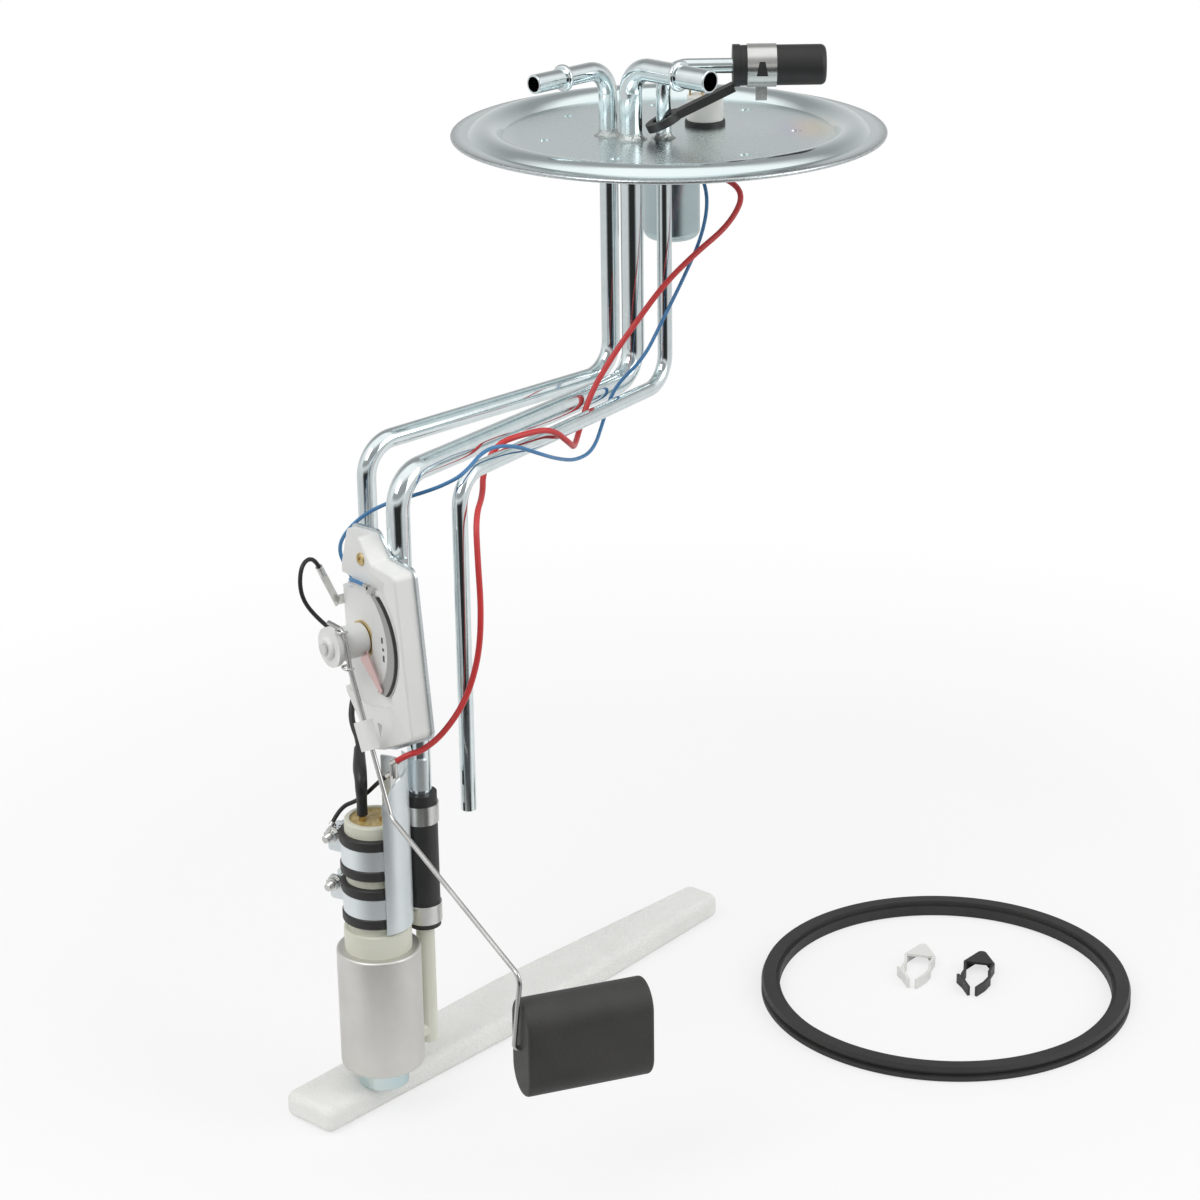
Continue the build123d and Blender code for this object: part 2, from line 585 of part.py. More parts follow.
def moving_parts():
    """The hub, washer, wiper, arm and clip, in the sender's frame."""
    bore = PIVOT_RADIUS + RUNNING_GAP
    washer = lift(Circle(WASHER_RADIUS) - Circle(PIVOT_RADIUS), 0, 0.8)
    hub = lift(Circle(HUB_RADIUS), 1.1, ARM_LEVEL + ARM_RADIUS + 0.1)
    hub += lift(Circle(HUB_DISC_RADIUS), ARM_LEVEL + ARM_RADIUS + 0.1, ARM_LEVEL + ARM_RADIUS + 2.4)
    hub += lift(Circle(4.6), ARM_LEVEL + ARM_RADIUS + 2.4, ARM_LEVEL + ARM_RADIUS + 4.2)
    hub = chamfer(hub.edges().filter_by(GeomType.CIRCLE).sort_by(Axis.Z)[-1], 0.8)
    hub -= lift(Circle(bore), 0, 30)
    pin = lift(Circle(PIVOT_RADIUS), -FLOOR - PLATE_SHEET - 0.8, ARM_LEVEL + ARM_RADIUS + 5.6)
    pin += lift(Circle(PIVOT_RADIUS + 1.0), -FLOOR - PLATE_SHEET - 0.8, -FLOOR - PLATE_SHEET)
    pin += lift(Circle(PIVOT_RADIUS + 0.8), ARM_LEVEL + ARM_RADIUS + 4.6, ARM_LEVEL + ARM_RADIUS + 5.6)
    root = HUB_RADIUS - 0.1
    blade = make_face(Polyline((root, 3.4), (24.5, 1.3), (24.5, -1.3), (root, -3.4), close=True))
    wiper_low = CARD_SHEET + WINDING_HEIGHT + 0.35
    wiper = lift(blade, wiper_low, wiper_low + 0.7) - lift(Circle(HUB_RADIUS), 0, 10)
    wiper = Rotation(0, 0, -44) * wiper
    return washer, hub, pin, wiper


def arm_points():
    level = ARM_LEVEL
    return [(-5, HUB_RADIUS + 1.5), (6.6, HUB_RADIUS + 1.5), (10.0, -7.2), ARM_BEND, ARM_ELBOW, ARM_HOOK], level


def float_way():
    return Vector(cos(radians(FLOAT_TURN)), sin(radians(FLOAT_TURN)), 0)


def arm_wire():
    points, level = arm_points()
    world = [SENDER.from_local_coords(Vector(x, y, level)) for x, y in points]
    hook = world[-1]
    end = hook + float_way() * (FLOAT_GAP + ARM_RADIUS + FLOAT_LENGTH + 3.0)
    return pipe([*world, end], [5.0, 12.0, 8.0, 5.0, 2.4], ARM_RADIUS), hook


def float_solid(hook):
    way = float_way()
    straight = FLOAT_HEIGHT - FLOAT_THICKNESS
    face = SlotCenterToCenter(straight, FLOAT_THICKNESS, rotation=90) - Circle(ARM_RADIUS + RUNNING_GAP)
    slab = extrude(face, FLOAT_LENGTH)
    ends = slab.edges().group_by(Axis.Z)
    rims = [edge for level in (ends[0], ends[-1]) for edge in level if edge.length > 8]
    slab = fillet(rims, 1.6)
    start = hook + way * (FLOAT_GAP + ARM_RADIUS)
    side = Vector(way.Y, -way.X, 0)
    return Plane(origin=start, x_dir=side, z_dir=way) * slab


def arm_clip():
    """A white block that grips the wire just above its first bend."""
    width, length, height = CLIP_SIZE
    points, level = arm_points()
    high = Vector(*points[2])
    low = Vector(*points[3])
    way = (low - high).normalized()
    centre = high + way * 27.0
    block = Box(width, length, height)
    block -= Pos(0, 0, -0.6) * Rotation(90, 0, 0) * Cylinder(ARM_RADIUS, 2 * length)
    block = chamfer(block.edges().filter_by(Axis.Y), 0.8)
    turn = degrees(atan2(way.Y, way.X)) + 90
    return Location((centre.X, centre.Y, level + 0.6), (0, 0, turn)) * block


def jumper():
    """The stamped terminal on the housing's left edge and the short wire to the hub."""
    foot = Vector(-16.4, 10.0, 1.2)
    head = Vector(-16.4, 26.0, 8.6)
    way = (head - foot).normalized()
    strip = Plane(origin=foot, x_dir=(1, 0, 0), z_dir=way)
    strip *= Box(0.6, 3.0, (head - foot).length, align=(Align.CENTER, Align.CENTER, Align.MIN))
    start = head + way * 2.5
    barrel = rod(head - way * 2, start, 1.5)
    tab = Pos(-14.4, 12.5, 0.0) * Box(4.6, 3.0, 4.2) - lift(housing_face(), -FLOOR, HOUSING_DEPTH)
    loop = [(-14.8, 30.5, 18.2), (-13.4, 19.5, 20.0), (-11.8, 9.5, 15.4), (-6.5, 3.4, 9.8)]
    points = [start, start + way * 5.5, *loop]
    wire = pipe(points, cord_radii(points, "jumper_wire"), THIN_LEAD_RADIUS) - lift(Circle(HUB_RADIUS), 0, 12)
    return strip + barrel + tab, wire


def stay():
    """The strip from the back plate to the return tube, with a half saddle round the tube."""
    back = -FLOOR - PLATE_SHEET
    leg = in_sender((*RETURN_LEG, SENDER_AT[2]))
    way = Vector(leg.X + 10, leg.Z - back, 0).normalized()
    start = Vector(-10, back, 0)
    end = Vector(leg.X, leg.Z, 0) - way * RETURN_RADIUS
    side = Vector(-way.Y, way.X, 0)
    half = PLATE_SHEET / 2
    corners = [start - side * half, start + side * half, end + side * half, end - side * half]
    strip = make_face(Polyline(*[(c.X, c.Y) for c in corners], close=True))
    saddle = Pos(leg.X, leg.Z) * (Circle(RETURN_RADIUS + PLATE_SHEET) - Circle(RETURN_RADIUS))
    near_half = Rotation(0, 0, degrees(atan2(way.Y, way.X))) * Rectangle(20, 20)
    saddle &= Pos(leg.X - way.X * 10, leg.Z - way.Y * 10) * near_half
    solid = extrude(strip + saddle, 5, both=True)
    upright = Plane(origin=(0, 0, 0), x_dir=(1, 0, 0), z_dir=(0, -1, 0))
    return (upright * solid) - lift(Rectangle(200, 200), back + 0.01, 40)


def weld_saddle():
    """The folded ear of the back plate that is welded along the supply tube."""
    back = -FLOOR - PLATE_SHEET
    leg = in_sender((*SUPPLY_LEG, SENDER_AT[2]))
    length = 12.0
    middle = 32.5
    block = Pos(leg.X, middle, back - 2.4) * Box(2 * SUPPLY_RADIUS + 2.4, length, 4.8)
    hole = Pos(leg.X, middle, leg.Z) * Rotation(90, 0, 0) * Cylinder(SUPPLY_RADIUS, 2 * length)
    return block - hole


def pump_ring(outer, inner, low, high):
    return ring(outer, inner, low, high, PUMP_AT)


def pump_bracket():
    """A trough round the right side of the pump, with a saddle on the supply tube."""
    inner = BRACKET_INNER
    outer = inner + BRACKET_SHEET
    face = (Circle(outer) - Circle(inner)) & wedge(2 * outer, BRACKET_START, BRACKET_END)
    trough = Pos(*PUMP_AT, BRACKET_BASE) * extrude(face, BRACKET_TOP - BRACKET_BASE)
    across = (cos(radians(30)), sin(radians(30)), 0)
    side_on = Plane(origin=(*PUMP_AT, BRACKET_TOP), x_dir=across, z_dir=(0.5, -sin(radians(60)), 0))
    edge = Spline(*BRACKET_EDGE, tangents=((0.4, 1), (0.3, 1)))
    corners = Polyline(BRACKET_EDGE[-1], *BRACKET_CORNERS, BRACKET_EDGE[0])
    trough -= side_on * extrude(make_face([edge, corners]), BRACKET_CUT)
    trough -= side_on * (Pos(0, -1.0) * extrude(Rectangle(2 * BRACKET_CUT, BRACKET_REAR), -BRACKET_CUT))
    turn = degrees(atan2(HOSE_AT[1] - PUMP_AT[1], HOSE_AT[0] - PUMP_AT[0]))
    reach = hypot(HOSE_AT[0] - PUMP_AT[0], HOSE_AT[1] - PUMP_AT[1])
    from_corner = (Align.MIN, Align.CENTER, Align.MIN)
    web = Box(reach - outer - SUPPLY_RADIUS + 1.0, BRACKET_SHEET, WEB_HEIGHT, align=from_corner)
    saddle = ring(SUPPLY_RADIUS + BRACKET_SHEET, 0, WEB_BASE, WEB_BASE + WEB_HEIGHT, (reach, 0))
    saddle &= Pos(reach - 10, 0, WEB_BASE) * Box(20, 20, 60)
    arm = Location((*PUMP_AT, 0), (0, 0, turn)) * (Pos(outer - 0.5, 0, WEB_BASE) * web + saddle)
    arm -= ring(SUPPLY_RADIUS, 0, WEB_BASE - 1, WEB_BASE + 2 * WEB_HEIGHT, HOSE_AT)
    return trough + arm


def isolators():
    """Two rubber rings, each with a lip above and below its band."""
    rings = []
    for level in STRAP_LEVELS:
        half = STRAP_WIDTH / 2
        reach = half + LIP_WIDTH
        sleeve = pump_ring(BODY_RADIUS + ISOLATOR_SHEET, BODY_RADIUS, level - reach, level + reach)
        for low in (level - half - LIP_WIDTH, level + half):
            lip = pump_ring(BODY_RADIUS + ISOLATOR_LIP, BODY_RADIUS, low, low + LIP_WIDTH)
            lip = fillet(lip.edges().filter_by(GeomType.CIRCLE).sort_by(SortBy.RADIUS)[-2:], 0.9)
            clear = pump_ring(2 * SHELL_RADIUS, BRACKET_INNER, low - 1, low + LIP_WIDTH + 1)
            beside = wedge(60.0, BRACKET_START - 3, BRACKET_END + 3)
            clear &= Pos(*PUMP_AT, low - 1) * extrude(beside, LIP_WIDTH + 2)
            sleeve += lip - clear
        rings.append(sleeve)
    return group(*rings)


def at_lugs(shape):
    """From the straps' own frame, where the lugs point along -x, to the pump."""
    return Location((*PUMP_AT, 0), (0, 0, LUG_TURN)) * shape


def straps():
    """Two band clamps inside the trough, each with a pair of lugs drawn together by a screw."""
    inner = BODY_RADIUS + ISOLATOR_SHEET
    outer = inner + STRAP_SHEET
    axis_at = outer + LUG_REACH
    lug_at = STRAP_GAP / 2 + STRAP_SHEET / 2
    face = STRAP_GAP / 2 + STRAP_SHEET
    half = STRAP_WIDTH * 0.4
    near, far = -axis_at + 2.3, -axis_at - 3.0
    lug = make_face(Polyline(
        (-outer + 0.3, -half), (far, -half), (far, LUG_RISE + 3.0), (near, LUG_RISE + 3.0), (near, half),
        (-outer + 0.3, half), close=True,
    ))
    lug = fillet(lug.vertices().group_by(Axis.X)[0], 1.4)
    bands = []
    screws = []
    for level in STRAP_LEVELS:
        band = ring(outer, inner, level - STRAP_WIDTH / 2, level + STRAP_WIDTH / 2)
        band -= Pos(-outer, 0, level) * Box(8, STRAP_GAP, 2 * STRAP_WIDTH)
        hole = Pos(-axis_at, 0, level + LUG_RISE) * (Rotation(90, 0, 0) * Cylinder(SCREW_RADIUS, 20))
        for side in (-1, 1):
            band += Pos(0, side * lug_at, level) * extrude(Plane.XZ * lug, STRAP_SHEET / 2, both=True)
        bands.append(at_lugs(band - hole))
        screw = Pos(0, 0, -SCREW_LENGTH + face + 3.2) * Cylinder(SCREW_RADIUS, SCREW_LENGTH, align=AT_FOOT)
        head = Pos(0, 0, face + RING_SHEET) * Cylinder(SCREW_RADIUS + 1.2, 2.4, align=AT_FOOT)
        slot = Pos(0, 0, face + RING_SHEET + 2.4) * Box(0.7, 8, 1.4)
        nut = Pos(0, 0, -face - 2.6) * extrude(RegularPolygon(SCREW_RADIUS + 1.3, 6), 2.6)
        place = Location((-axis_at, 0, level + LUG_RISE), (90, 0, 0))
        screws.append(at_lugs(place * (screw + head - slot)))
        screws.append(at_lugs(place * (nut - Cylinder(SCREW_RADIUS, 3 * SCREW_LENGTH))))
    return group(*bands), group(*screws)


def pump_cap():
    cap = pump_ring(BODY_RADIUS, 0, CAP_BASE, CAP_TOP)
    cap = fillet(cap.edges().filter_by(GeomType.CIRCLE).sort_by(Axis.Z)[-1], 1.0)
    cap -= pump_ring(BODY_RADIUS - 2.2, 0, CAP_TOP - 1.0, CAP_TOP + 1)
    terminals = []
    for side in (-1, 1):
        at = (PUMP_AT[0] + side * 4.2, PUMP_AT[1] - 1.5)
        post = ring(1.6, 0, CAP_BASE, CAP_TOP + 1.2, at)
        cap -= post
        terminals.append(post)
    cap -= pump_ring(SHAFT_RADIUS + 2.5, 0, CAP_BASE - 1, CAP_BASE + 2)
    return cap, group(*terminals)


def pump_body():
    """The moulded motor housing, hollow, with a collar that enters the shell."""
    skirt = SHELL_INNER - PRESS_GAP
    body = pump_ring(BODY_RADIUS, 0, COLLAR_TOP, CAP_BASE)
    body += pump_ring(COLLAR_RADIUS, 0, SHELL_TOP - 2, COLLAR_TOP)
    body += pump_ring(skirt, 0, MOTOR_TOP, SHELL_TOP - 2)
    rims = body.edges().filter_by(GeomType.CIRCLE).group_by(Axis.Z)[-2]
    body = fillet(rims.sort_by(SortBy.RADIUS)[-1], 0.8)
    body -= pump_ring(BODY_RADIUS - 2.0, 0, MOTOR_TOP - 1, CAP_BASE - 12)
    body -= pump_ring(SHAFT_RADIUS + RUNNING_GAP, 0, CAP_BASE - 13, CAP_BASE - 5)
    for side in (-1, 1):
        body -= ring(1.6, 0, CAP_BASE - 13, CAP_BASE + 1, (PUMP_AT[0] + side * 4.2, PUMP_AT[1] - 1.5))
    return body


def pump_shell():
    """The rolled shell with its turned-in top rim and rounded bottom."""
    shell = pump_ring(SHELL_RADIUS, 0, SHELL_BASE, SHELL_TOP)
    shell = fillet(shell.edges().filter_by(GeomType.CIRCLE).sort_by(Axis.Z)[0], 2.6)
    shell = fillet(shell.edges().filter_by(GeomType.CIRCLE).sort_by(Axis.Z)[-1], 1.2)
    core = pump_ring(SHELL_INNER, 0, SHELL_BASE + SHELL_SHEET, SHELL_TOP - 2)
    core = fillet(core.edges().filter_by(GeomType.CIRCLE).sort_by(Axis.Z)[0], 1.8)
    shell -= core
    shell -= pump_ring(COLLAR_RADIUS + PRESS_GAP, 0, SHELL_TOP - 3, SHELL_TOP + 1)
    shell -= pump_ring(INLET_RADIUS - 2.5, 0, SHELL_BASE - 1, SHELL_BASE + 2)
    return shell - port(PORT_RADIUS)


def port(radius):
    """The side port's round bar, from the outlet pipe to the pumping section."""
    pump = Vector(*PUMP_AT, PORT_LEVEL)
    pipe_axis = Vector(*HOSE_AT, PORT_LEVEL)
    way = (pipe_axis - pump).normalized()
    return rod(pump + way * (IMPELLER_RADIUS + 1.5), pipe_axis, radius)


def inlet_cup():
    cup = pump_ring(INLET_RADIUS, INLET_RADIUS - 1.0, SHELL_BASE - INLET_DEPTH + 1, SHELL_BASE)
    floor = pump_ring(INLET_RADIUS, 5.0, SHELL_BASE - INLET_DEPTH, SHELL_BASE - INLET_DEPTH + 1)
    cup += floor
    return fillet(cup.edges().filter_by(GeomType.CIRCLE).group_by(Axis.Z)[0].sort_by(SortBy.RADIUS)[-1], 0.9)


def pumping_section():
    """The volute with its pocket, and the impeller that turns in it."""
    low = SHELL_BASE + SHELL_SHEET
    outer = SHELL_INNER - PRESS_GAP
    pocket = IMPELLER_RADIUS + ROTOR_GAP
    middle = (low + 2 + VOLUTE_TOP) / 2
    volute = pump_ring(outer, 0, low, VOLUTE_TOP)
    volute = fillet(volute.edges().filter_by(GeomType.CIRCLE).sort_by(Axis.Z)[0], 1.9)
    half = IMPELLER_HEIGHT / 2 + ROTOR_GAP
    volute -= pump_ring(pocket, 0, middle - half, middle + half)
    for spot in PolarLocations(SHAFT_RADIUS + 3.2, 6):
        volute -= Pos(*PUMP_AT, low) * spot * Cylinder(INTAKE_RADIUS, 2 * (middle - low))
    volute -= pump_ring(SHAFT_RADIUS + RUNNING_GAP, 0, low + 1.5, VOLUTE_TOP + 1)
    way = Vector(HOSE_AT[0] - PUMP_AT[0], HOSE_AT[1] - PUMP_AT[1], 0).normalized()
    start = Vector(*PUMP_AT, PORT_LEVEL) + way * (IMPELLER_RADIUS - 2)
    volute -= port(PORT_RADIUS) + rod(start, start + way * 5, PIPE_BORE)
    disc = ring(IMPELLER_RADIUS, 0, -IMPELLER_HEIGHT / 2, IMPELLER_HEIGHT / 2)
    slot = Box(2.4, 1.2, 2 * IMPELLER_HEIGHT)
    for turn in range(0, 360, 30):
        disc -= Rotation(0, 0, turn) * Pos(IMPELLER_RADIUS - 0.4, 0, 0) * slot
    impeller = Pos(*PUMP_AT, middle) * (disc - Cylinder(SHAFT_RADIUS, 2 * IMPELLER_HEIGHT))
    return volute, impeller, low + 1.8


def motor(shaft_base):
    """Armature, commutator, shaft, magnets and brushes."""
    shaft = pump_ring(SHAFT_RADIUS, 0, shaft_base, CAP_BASE - 5.5)
    core = Circle(ARMATURE_RADIUS) - Circle(SHAFT_RADIUS)
    for turn in range(0, 360, 45):
        core -= Rotation(0, 0, turn) * Pos(ARMATURE_RADIUS, 0) * Rectangle(5.0, 1.6)
    armature = Pos(*PUMP_AT, MOTOR_BASE) * extrude(core, MOTOR_TOP - MOTOR_BASE)
    commutator = pump_ring(COMMUTATOR_RADIUS, SHAFT_RADIUS, MOTOR_TOP + 8, MOTOR_TOP + 20)
    magnets = []
    for side in (0, 180):
        arc = (Circle(MAGNET_RADIUS) - Circle(MAGNET_RADIUS - MAGNET_SHEET)) & wedge(40, -65, 65)
        magnets.append(Location((*PUMP_AT, MOTOR_BASE), (0, 0, side)) * extrude(arc, MOTOR_TOP - MOTOR_BASE))
    brushes = []
    for side in (-1, 1):
        near = COMMUTATOR_RADIUS + 0.1
        far = BODY_RADIUS - 2.3
        brush = Pos(side * (near + far) / 2, 0, MOTOR_TOP + 14) * Box(far - near, 4, 4)
        brushes.append(Pos(*PUMP_AT, 0) * brush)
    return shaft, armature, commutator, group(*magnets), group(*brushes)


def outlet_pipe():
    """The moulded pipe beside the shell, with a ball seat in its upper end."""
    outside = ring(PIPE_RADIUS, 0, PIPE_BASE, PIPE_TOP, HOSE_AT)
    outside = fillet(outside.edges().filter_by(GeomType.CIRCLE).sort_by(Axis.Z)[0], 1.0)
    for low in (HOSE_BASE + 2, HOSE_BASE + 9):
        outside += Pos(*HOSE_AT, low) * Cone(BARB_RADIUS, PIPE_RADIUS, 6, align=AT_FOOT)
    outside += port(PORT_RADIUS)
    outside -= ring(PIPE_BORE, 0, PORT_LEVEL, CHECK_SEAT + 1, HOSE_AT)
    outside -= ring(CHECK_BORE, 0, CHECK_SEAT, PIPE_TOP - 2, HOSE_AT)
    outside -= ring(PIPE_BORE, 0, PIPE_TOP - 3, PIPE_TOP + 1, HOSE_AT)
    outside -= port(PIPE_BORE)
    rest = CHECK_SEAT + sqrt(CHECK_RADIUS**2 - PIPE_BORE**2) + 0.05
    ball = Pos(*HOSE_AT, rest) * Sphere(CHECK_RADIUS)
    return outside, ball


def hose_clamps():
    """Two crimped bands, each with an ear at the back."""
    clamps = []
    for level in CLAMP_LEVELS:
        low = level - CLAMP_WIDTH / 2
        band = ring(HOSE_RADIUS + CLAMP_SHEET, HOSE_RADIUS, low, low + CLAMP_WIDTH)
        ear = Pos(HOSE_RADIUS + 1.0, 0, level) * Box(2.6, 5.0, CLAMP_WIDTH)
        ear = fillet(ear.edges().filter_by(Axis.Z), 0.9) - ring(HOSE_RADIUS + 0.3, 0, low, low + CLAMP_WIDTH)
        clamps.append(Location((*HOSE_AT, 0), (0, 0, CLAMP_TURN)) * (band + ear))
    return group(*clamps)


def strainer():
    """The felt sock: a long tapered pillow lying under the pump."""
    low = Vector(*SOCK_LOW)
    high = Vector(*SOCK_HIGH)
    length = (high - low).length
    turn = degrees(atan2(high.Y - low.Y, high.X - low.X))
    half = SOCK_WIDTH / 2
    tip = SOCK_TIP_WIDTH / 2
    near_side = ((0, -half + 2), (length * 0.5, -half), (length, -tip))
    far_side = ((length, tip), (length * 0.5, half), (0, half - 2))
    outline = make_face(Polyline(*near_side, *far_side, close=True))
    outline = fillet(outline.vertices().group_by(Axis.X)[0] + outline.vertices().group_by(Axis.X)[-1], 4.0)
    sock = extrude(outline, SOCK_THICKNESS)
    sock = fillet(sock.edges().group_by(Axis.Z)[0] + sock.edges().group_by(Axis.Z)[-1], 3.6)
    return Location((*SOCK_LOW, FLOOR_LEVEL), (0, 0, turn)) * sock


def seal_ring():
    """A ribbed rubber ring: flat top, inner step and a groove round the outside."""
    inner = SEAL_RADIUS - SEAL_WIDTH
    groove = 1.6
    points = [
        (inner, 0),
        (SEAL_RADIUS, 0),
        (SEAL_RADIUS, SEAL_HEIGHT * 0.3),
        (SEAL_RADIUS - groove, SEAL_HEIGHT * 0.42),
        (SEAL_RADIUS - groove, SEAL_HEIGHT * 0.58),
        (SEAL_RADIUS, SEAL_HEIGHT * 0.7),
        (SEAL_RADIUS - 0.8, SEAL_HEIGHT),
        (inner + 2.0, SEAL_HEIGHT),
        (inner + 1.6, SEAL_HEIGHT * 0.72),
        (inner, SEAL_HEIGHT * 0.72),
    ]
    section = Plane.XZ * make_face(Polyline(*points, close=True))
    return Pos(*SEAL_AT, FLOOR_LEVEL) * revolve(section, Axis.Z)


def hairpin_clip(at, turn):
    """A moulded clip: a triangular plate over a skirt, and two bowed legs on edge, one with a barb."""
    side = [(6.5, 5.5), (5.4, -2.0), (6.2, -7.0), (4.6, -12.5), (1.6, -18.5)]
    other = [(-x, y) for x, y in side]
    outline = FilletPolyline(*reversed(side), (0, 18), *other, radius=1.5)
    barb = Line((-4.8, -12.0), (-8.0, -7.4))
    walls = extrude(trace(outline, CLIP_WALL) + trace(barb, CLIP_WALL), CLIP_HEIGHT)
    plate = extrude(make_face(Polyline((-6, 5.5), (6, 5.5), (0, 16.8), close=True)), CLIP_WALL)
    clip = walls + Pos(0, 0, CLIP_HEIGHT - CLIP_WALL) * plate
    return Location((*at, FLOOR_LEVEL), (0, 0, turn)) * clip


def lead_sleeve():
    """Heat-shrink sleeving over the pump lead, from behind the housing down into the cap."""
    top, bend, low = [Vector(*point) for point in LEAD_POINTS[4:]]
    start = top + (bend - top).normalized() * 5.0
    end = low + (bend - low).normalized() * 0.5
    radius = cord_radii(LEAD_POINTS, "sleeve")[-1]
    return pipe([start, bend, end], [radius], SLEEVE_RADIUS, LEAD_RADIUS + 0.02)


def wire_crimps():
    """The splice on the bracket, the ring terminal at the strap and the terminal behind the sender."""
    before, top = Vector(*RED_POINTS[-2]), Vector(*RED_POINTS[-1])
    way = (top - before).normalized()
    foot = Vector(*CRIMP_FOOT)
    tab = ring(BRACKET_INNER, BRACKET_INNER - 0.8, CRIMP_FOOT[2] - 8, CRIMP_FOOT[2] + 1)
    tab &= Pos(0, 0, CRIMP_FOOT[2] - 20) * extrude(wedge(30.0, -50, -32), 40)
    branch = Vector(*GROUND_POINTS[0])
    back = (branch - Vector(*GROUND_POINTS[1])).normalized()
    splice = rod(top, top + way * 3.0, 1.7) + rod(top + way * 2.2, foot, 1.7)
    splice += rod(branch + back * 4.0, branch, 1.2)
    splice += Pos(*PUMP_AT, 0) * tab
    end = Vector(*GROUND_POINTS[-1])
    face = -STRAP_GAP / 2 - STRAP_SHEET
    centre = Vector(-BRACKET_INNER - LUG_REACH, face, STRAP_LEVELS[0] + LUG_RISE)
    lug = Cylinder(3.2, RING_SHEET, align=AT_FOOT) + Pos(0, 3.4, 0) * Box(2.6, 2.6, RING_SHEET, align=AT_FOOT)
    lug = at_lugs(Plane(origin=centre, x_dir=(1, 0, 0), z_dir=(0, -1, 0)) * (lug - Cylinder(SCREW_RADIUS, 9)))
    lug += rod(end, end + (end - Vector(*GROUND_POINTS[-2])).normalized() * 1.6, 1.2)
    start = Vector(*LEAD_POINTS[0])
    way = (Vector(*LEAD_POINTS[1]) - start).normalized()
    return group(splice, lug, rod(start - way * 5.0, start, 1.8))


def build():
    save("flange_plate", cover())
    save("tube_brazes", brazes())
    save("return_tube", top_tube(
        RETURN_AT, RETURN_TOP, NOZZLE_RETURN_ANGLE, NOZZLE_RETURN_REACH, RETURN_LEG, RETURN_END, RETURN_RADIUS))
    joggle = [(*SUPPLY_LEG, -150.0), (*HOSE_AT, -190.0)]
    save("supply_tube", top_tube(
        SUPPLY_AT, SUPPLY_TOP, NOZZLE_SUPPLY_ANGLE, NOZZLE_SUPPLY_REACH, SUPPLY_LEG, SUPPLY_END, SUPPLY_RADIUS, joggle))
    run = RUN_LEVEL - RUN_DROP * 2
    vent_points = [
        (CAP_START + CAP_DEPTH - 0.5, VENT_AT[1], VENT_TOP), (*VENT_AT, VENT_TOP), (*VENT_AT, run), (*VENT_LEG, run),
        (*VENT_LEG, VENT_END),
    ]
    vent = pipe(vent_points, [TOP_BEND - 1, RUN_BEND - 1, RUN_BEND - 1], VENT_RADIUS, VENT_RADIUS - TUBE_WALL)
    save("vent_tube", vent)
    save("vent_cap", vent_cap())
    save("cap_clamp", cap_clamp())
    save("cap_tether", cap_tether())
    for name, shape in zip(("connector_body", "connector_gasket", "connector_blades"), connector()):
        save(name, shape)
    for name, shape in zip(("vent_valve_cup", "vent_valve_cage", "vent_valve_ball", "vent_nipple"), valve()):
        save(name, shape)

    place = SENDER.location
    plate, housing, rivets, resistor, winding, terminal = sender_parts()
    save("sender_plate", place * (plate + stay() + weld_saddle()))
    save("sender_housing", place * housing)
    save("sender_rivets", group(*[place * rivet for rivet in rivets]))
    save("resistor_card", place * resistor)
    save("resistor_winding", place * winding)
    save("resistor_terminal", place * terminal)
    washer, hub, pin, wiper = moving_parts()
    save("hub_washer", place * washer)
    save("pivot_hub", place * hub)
    save("pivot_pin", place * pin)
    save("wiper", place * wiper)
    save("arm_clip", place * arm_clip())
    strip, wire = jumper()
    save("jumper_terminal", place * strip)
    save("jumper_wire", place * wire)
    arm, hook = arm_wire()
    save("float_arm", arm)
    save("float", float_solid(hook))

    save("pump_bracket", pump_bracket())
    save("pump_isolators", isolators())
    for name, shape in zip(("pump_straps", "strap_screws"), straps()):
        save(name, shape)
    for name, shape in zip(("pump_cap", "pump_terminals"), pump_cap()):
        save(name, shape)
    save("pump_body", pump_body())
    save("pump_shell", pump_shell())
    save("inlet_cup", inlet_cup())
    volute, impeller, shaft_base = pumping_section()
    save("pump_volute", volute)
    save("impeller", impeller)
    names = ("motor_shaft", "armature", "commutator", "motor_magnets", "motor_brushes")
    for name, shape in zip(names, motor(shaft_base)):
        save(name, shape)
    for name, shape in zip(("outlet_pipe", "check_ball"), outlet_pipe()):
        save(name, shape)
    save("outlet_hose", ring(HOSE_RADIUS, SUPPLY_RADIUS + 0.05, HOSE_BASE, HOSE_TOP, HOSE_AT))
    save("hose_clamps", hose_clamps())
    save("strainer_sock", strainer())

    save("red_wire", cord(RED_POINTS, RED_RADIUS, "red_wire"))
    save("blue_wire", cord(BLUE_POINTS, BLUE_RADIUS, "blue_wire"))
    save("pump_lead", cord(LEAD_POINTS, LEAD_RADIUS, "pump_lead"))
    save("ground_lead", cord(GROUND_POINTS, THIN_LEAD_RADIUS, "ground_lead"))
    save("lead_sleeve", lead_sleeve())
    save("wire_crimps", wire_crimps())
    save("seal_ring", seal_ring())
    save("clip_black", hairpin_clip(CLIP_AT[0], CLIP_TURN))
    save("clip_white", hairpin_clip(CLIP_AT[1], CLIP_TURN))


build()
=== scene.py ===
"""Looks of a hanging fuel pump module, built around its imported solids, in metres."""
import json
from math import radians

import bmesh
import bpy
from mathutils import Matrix, Vector


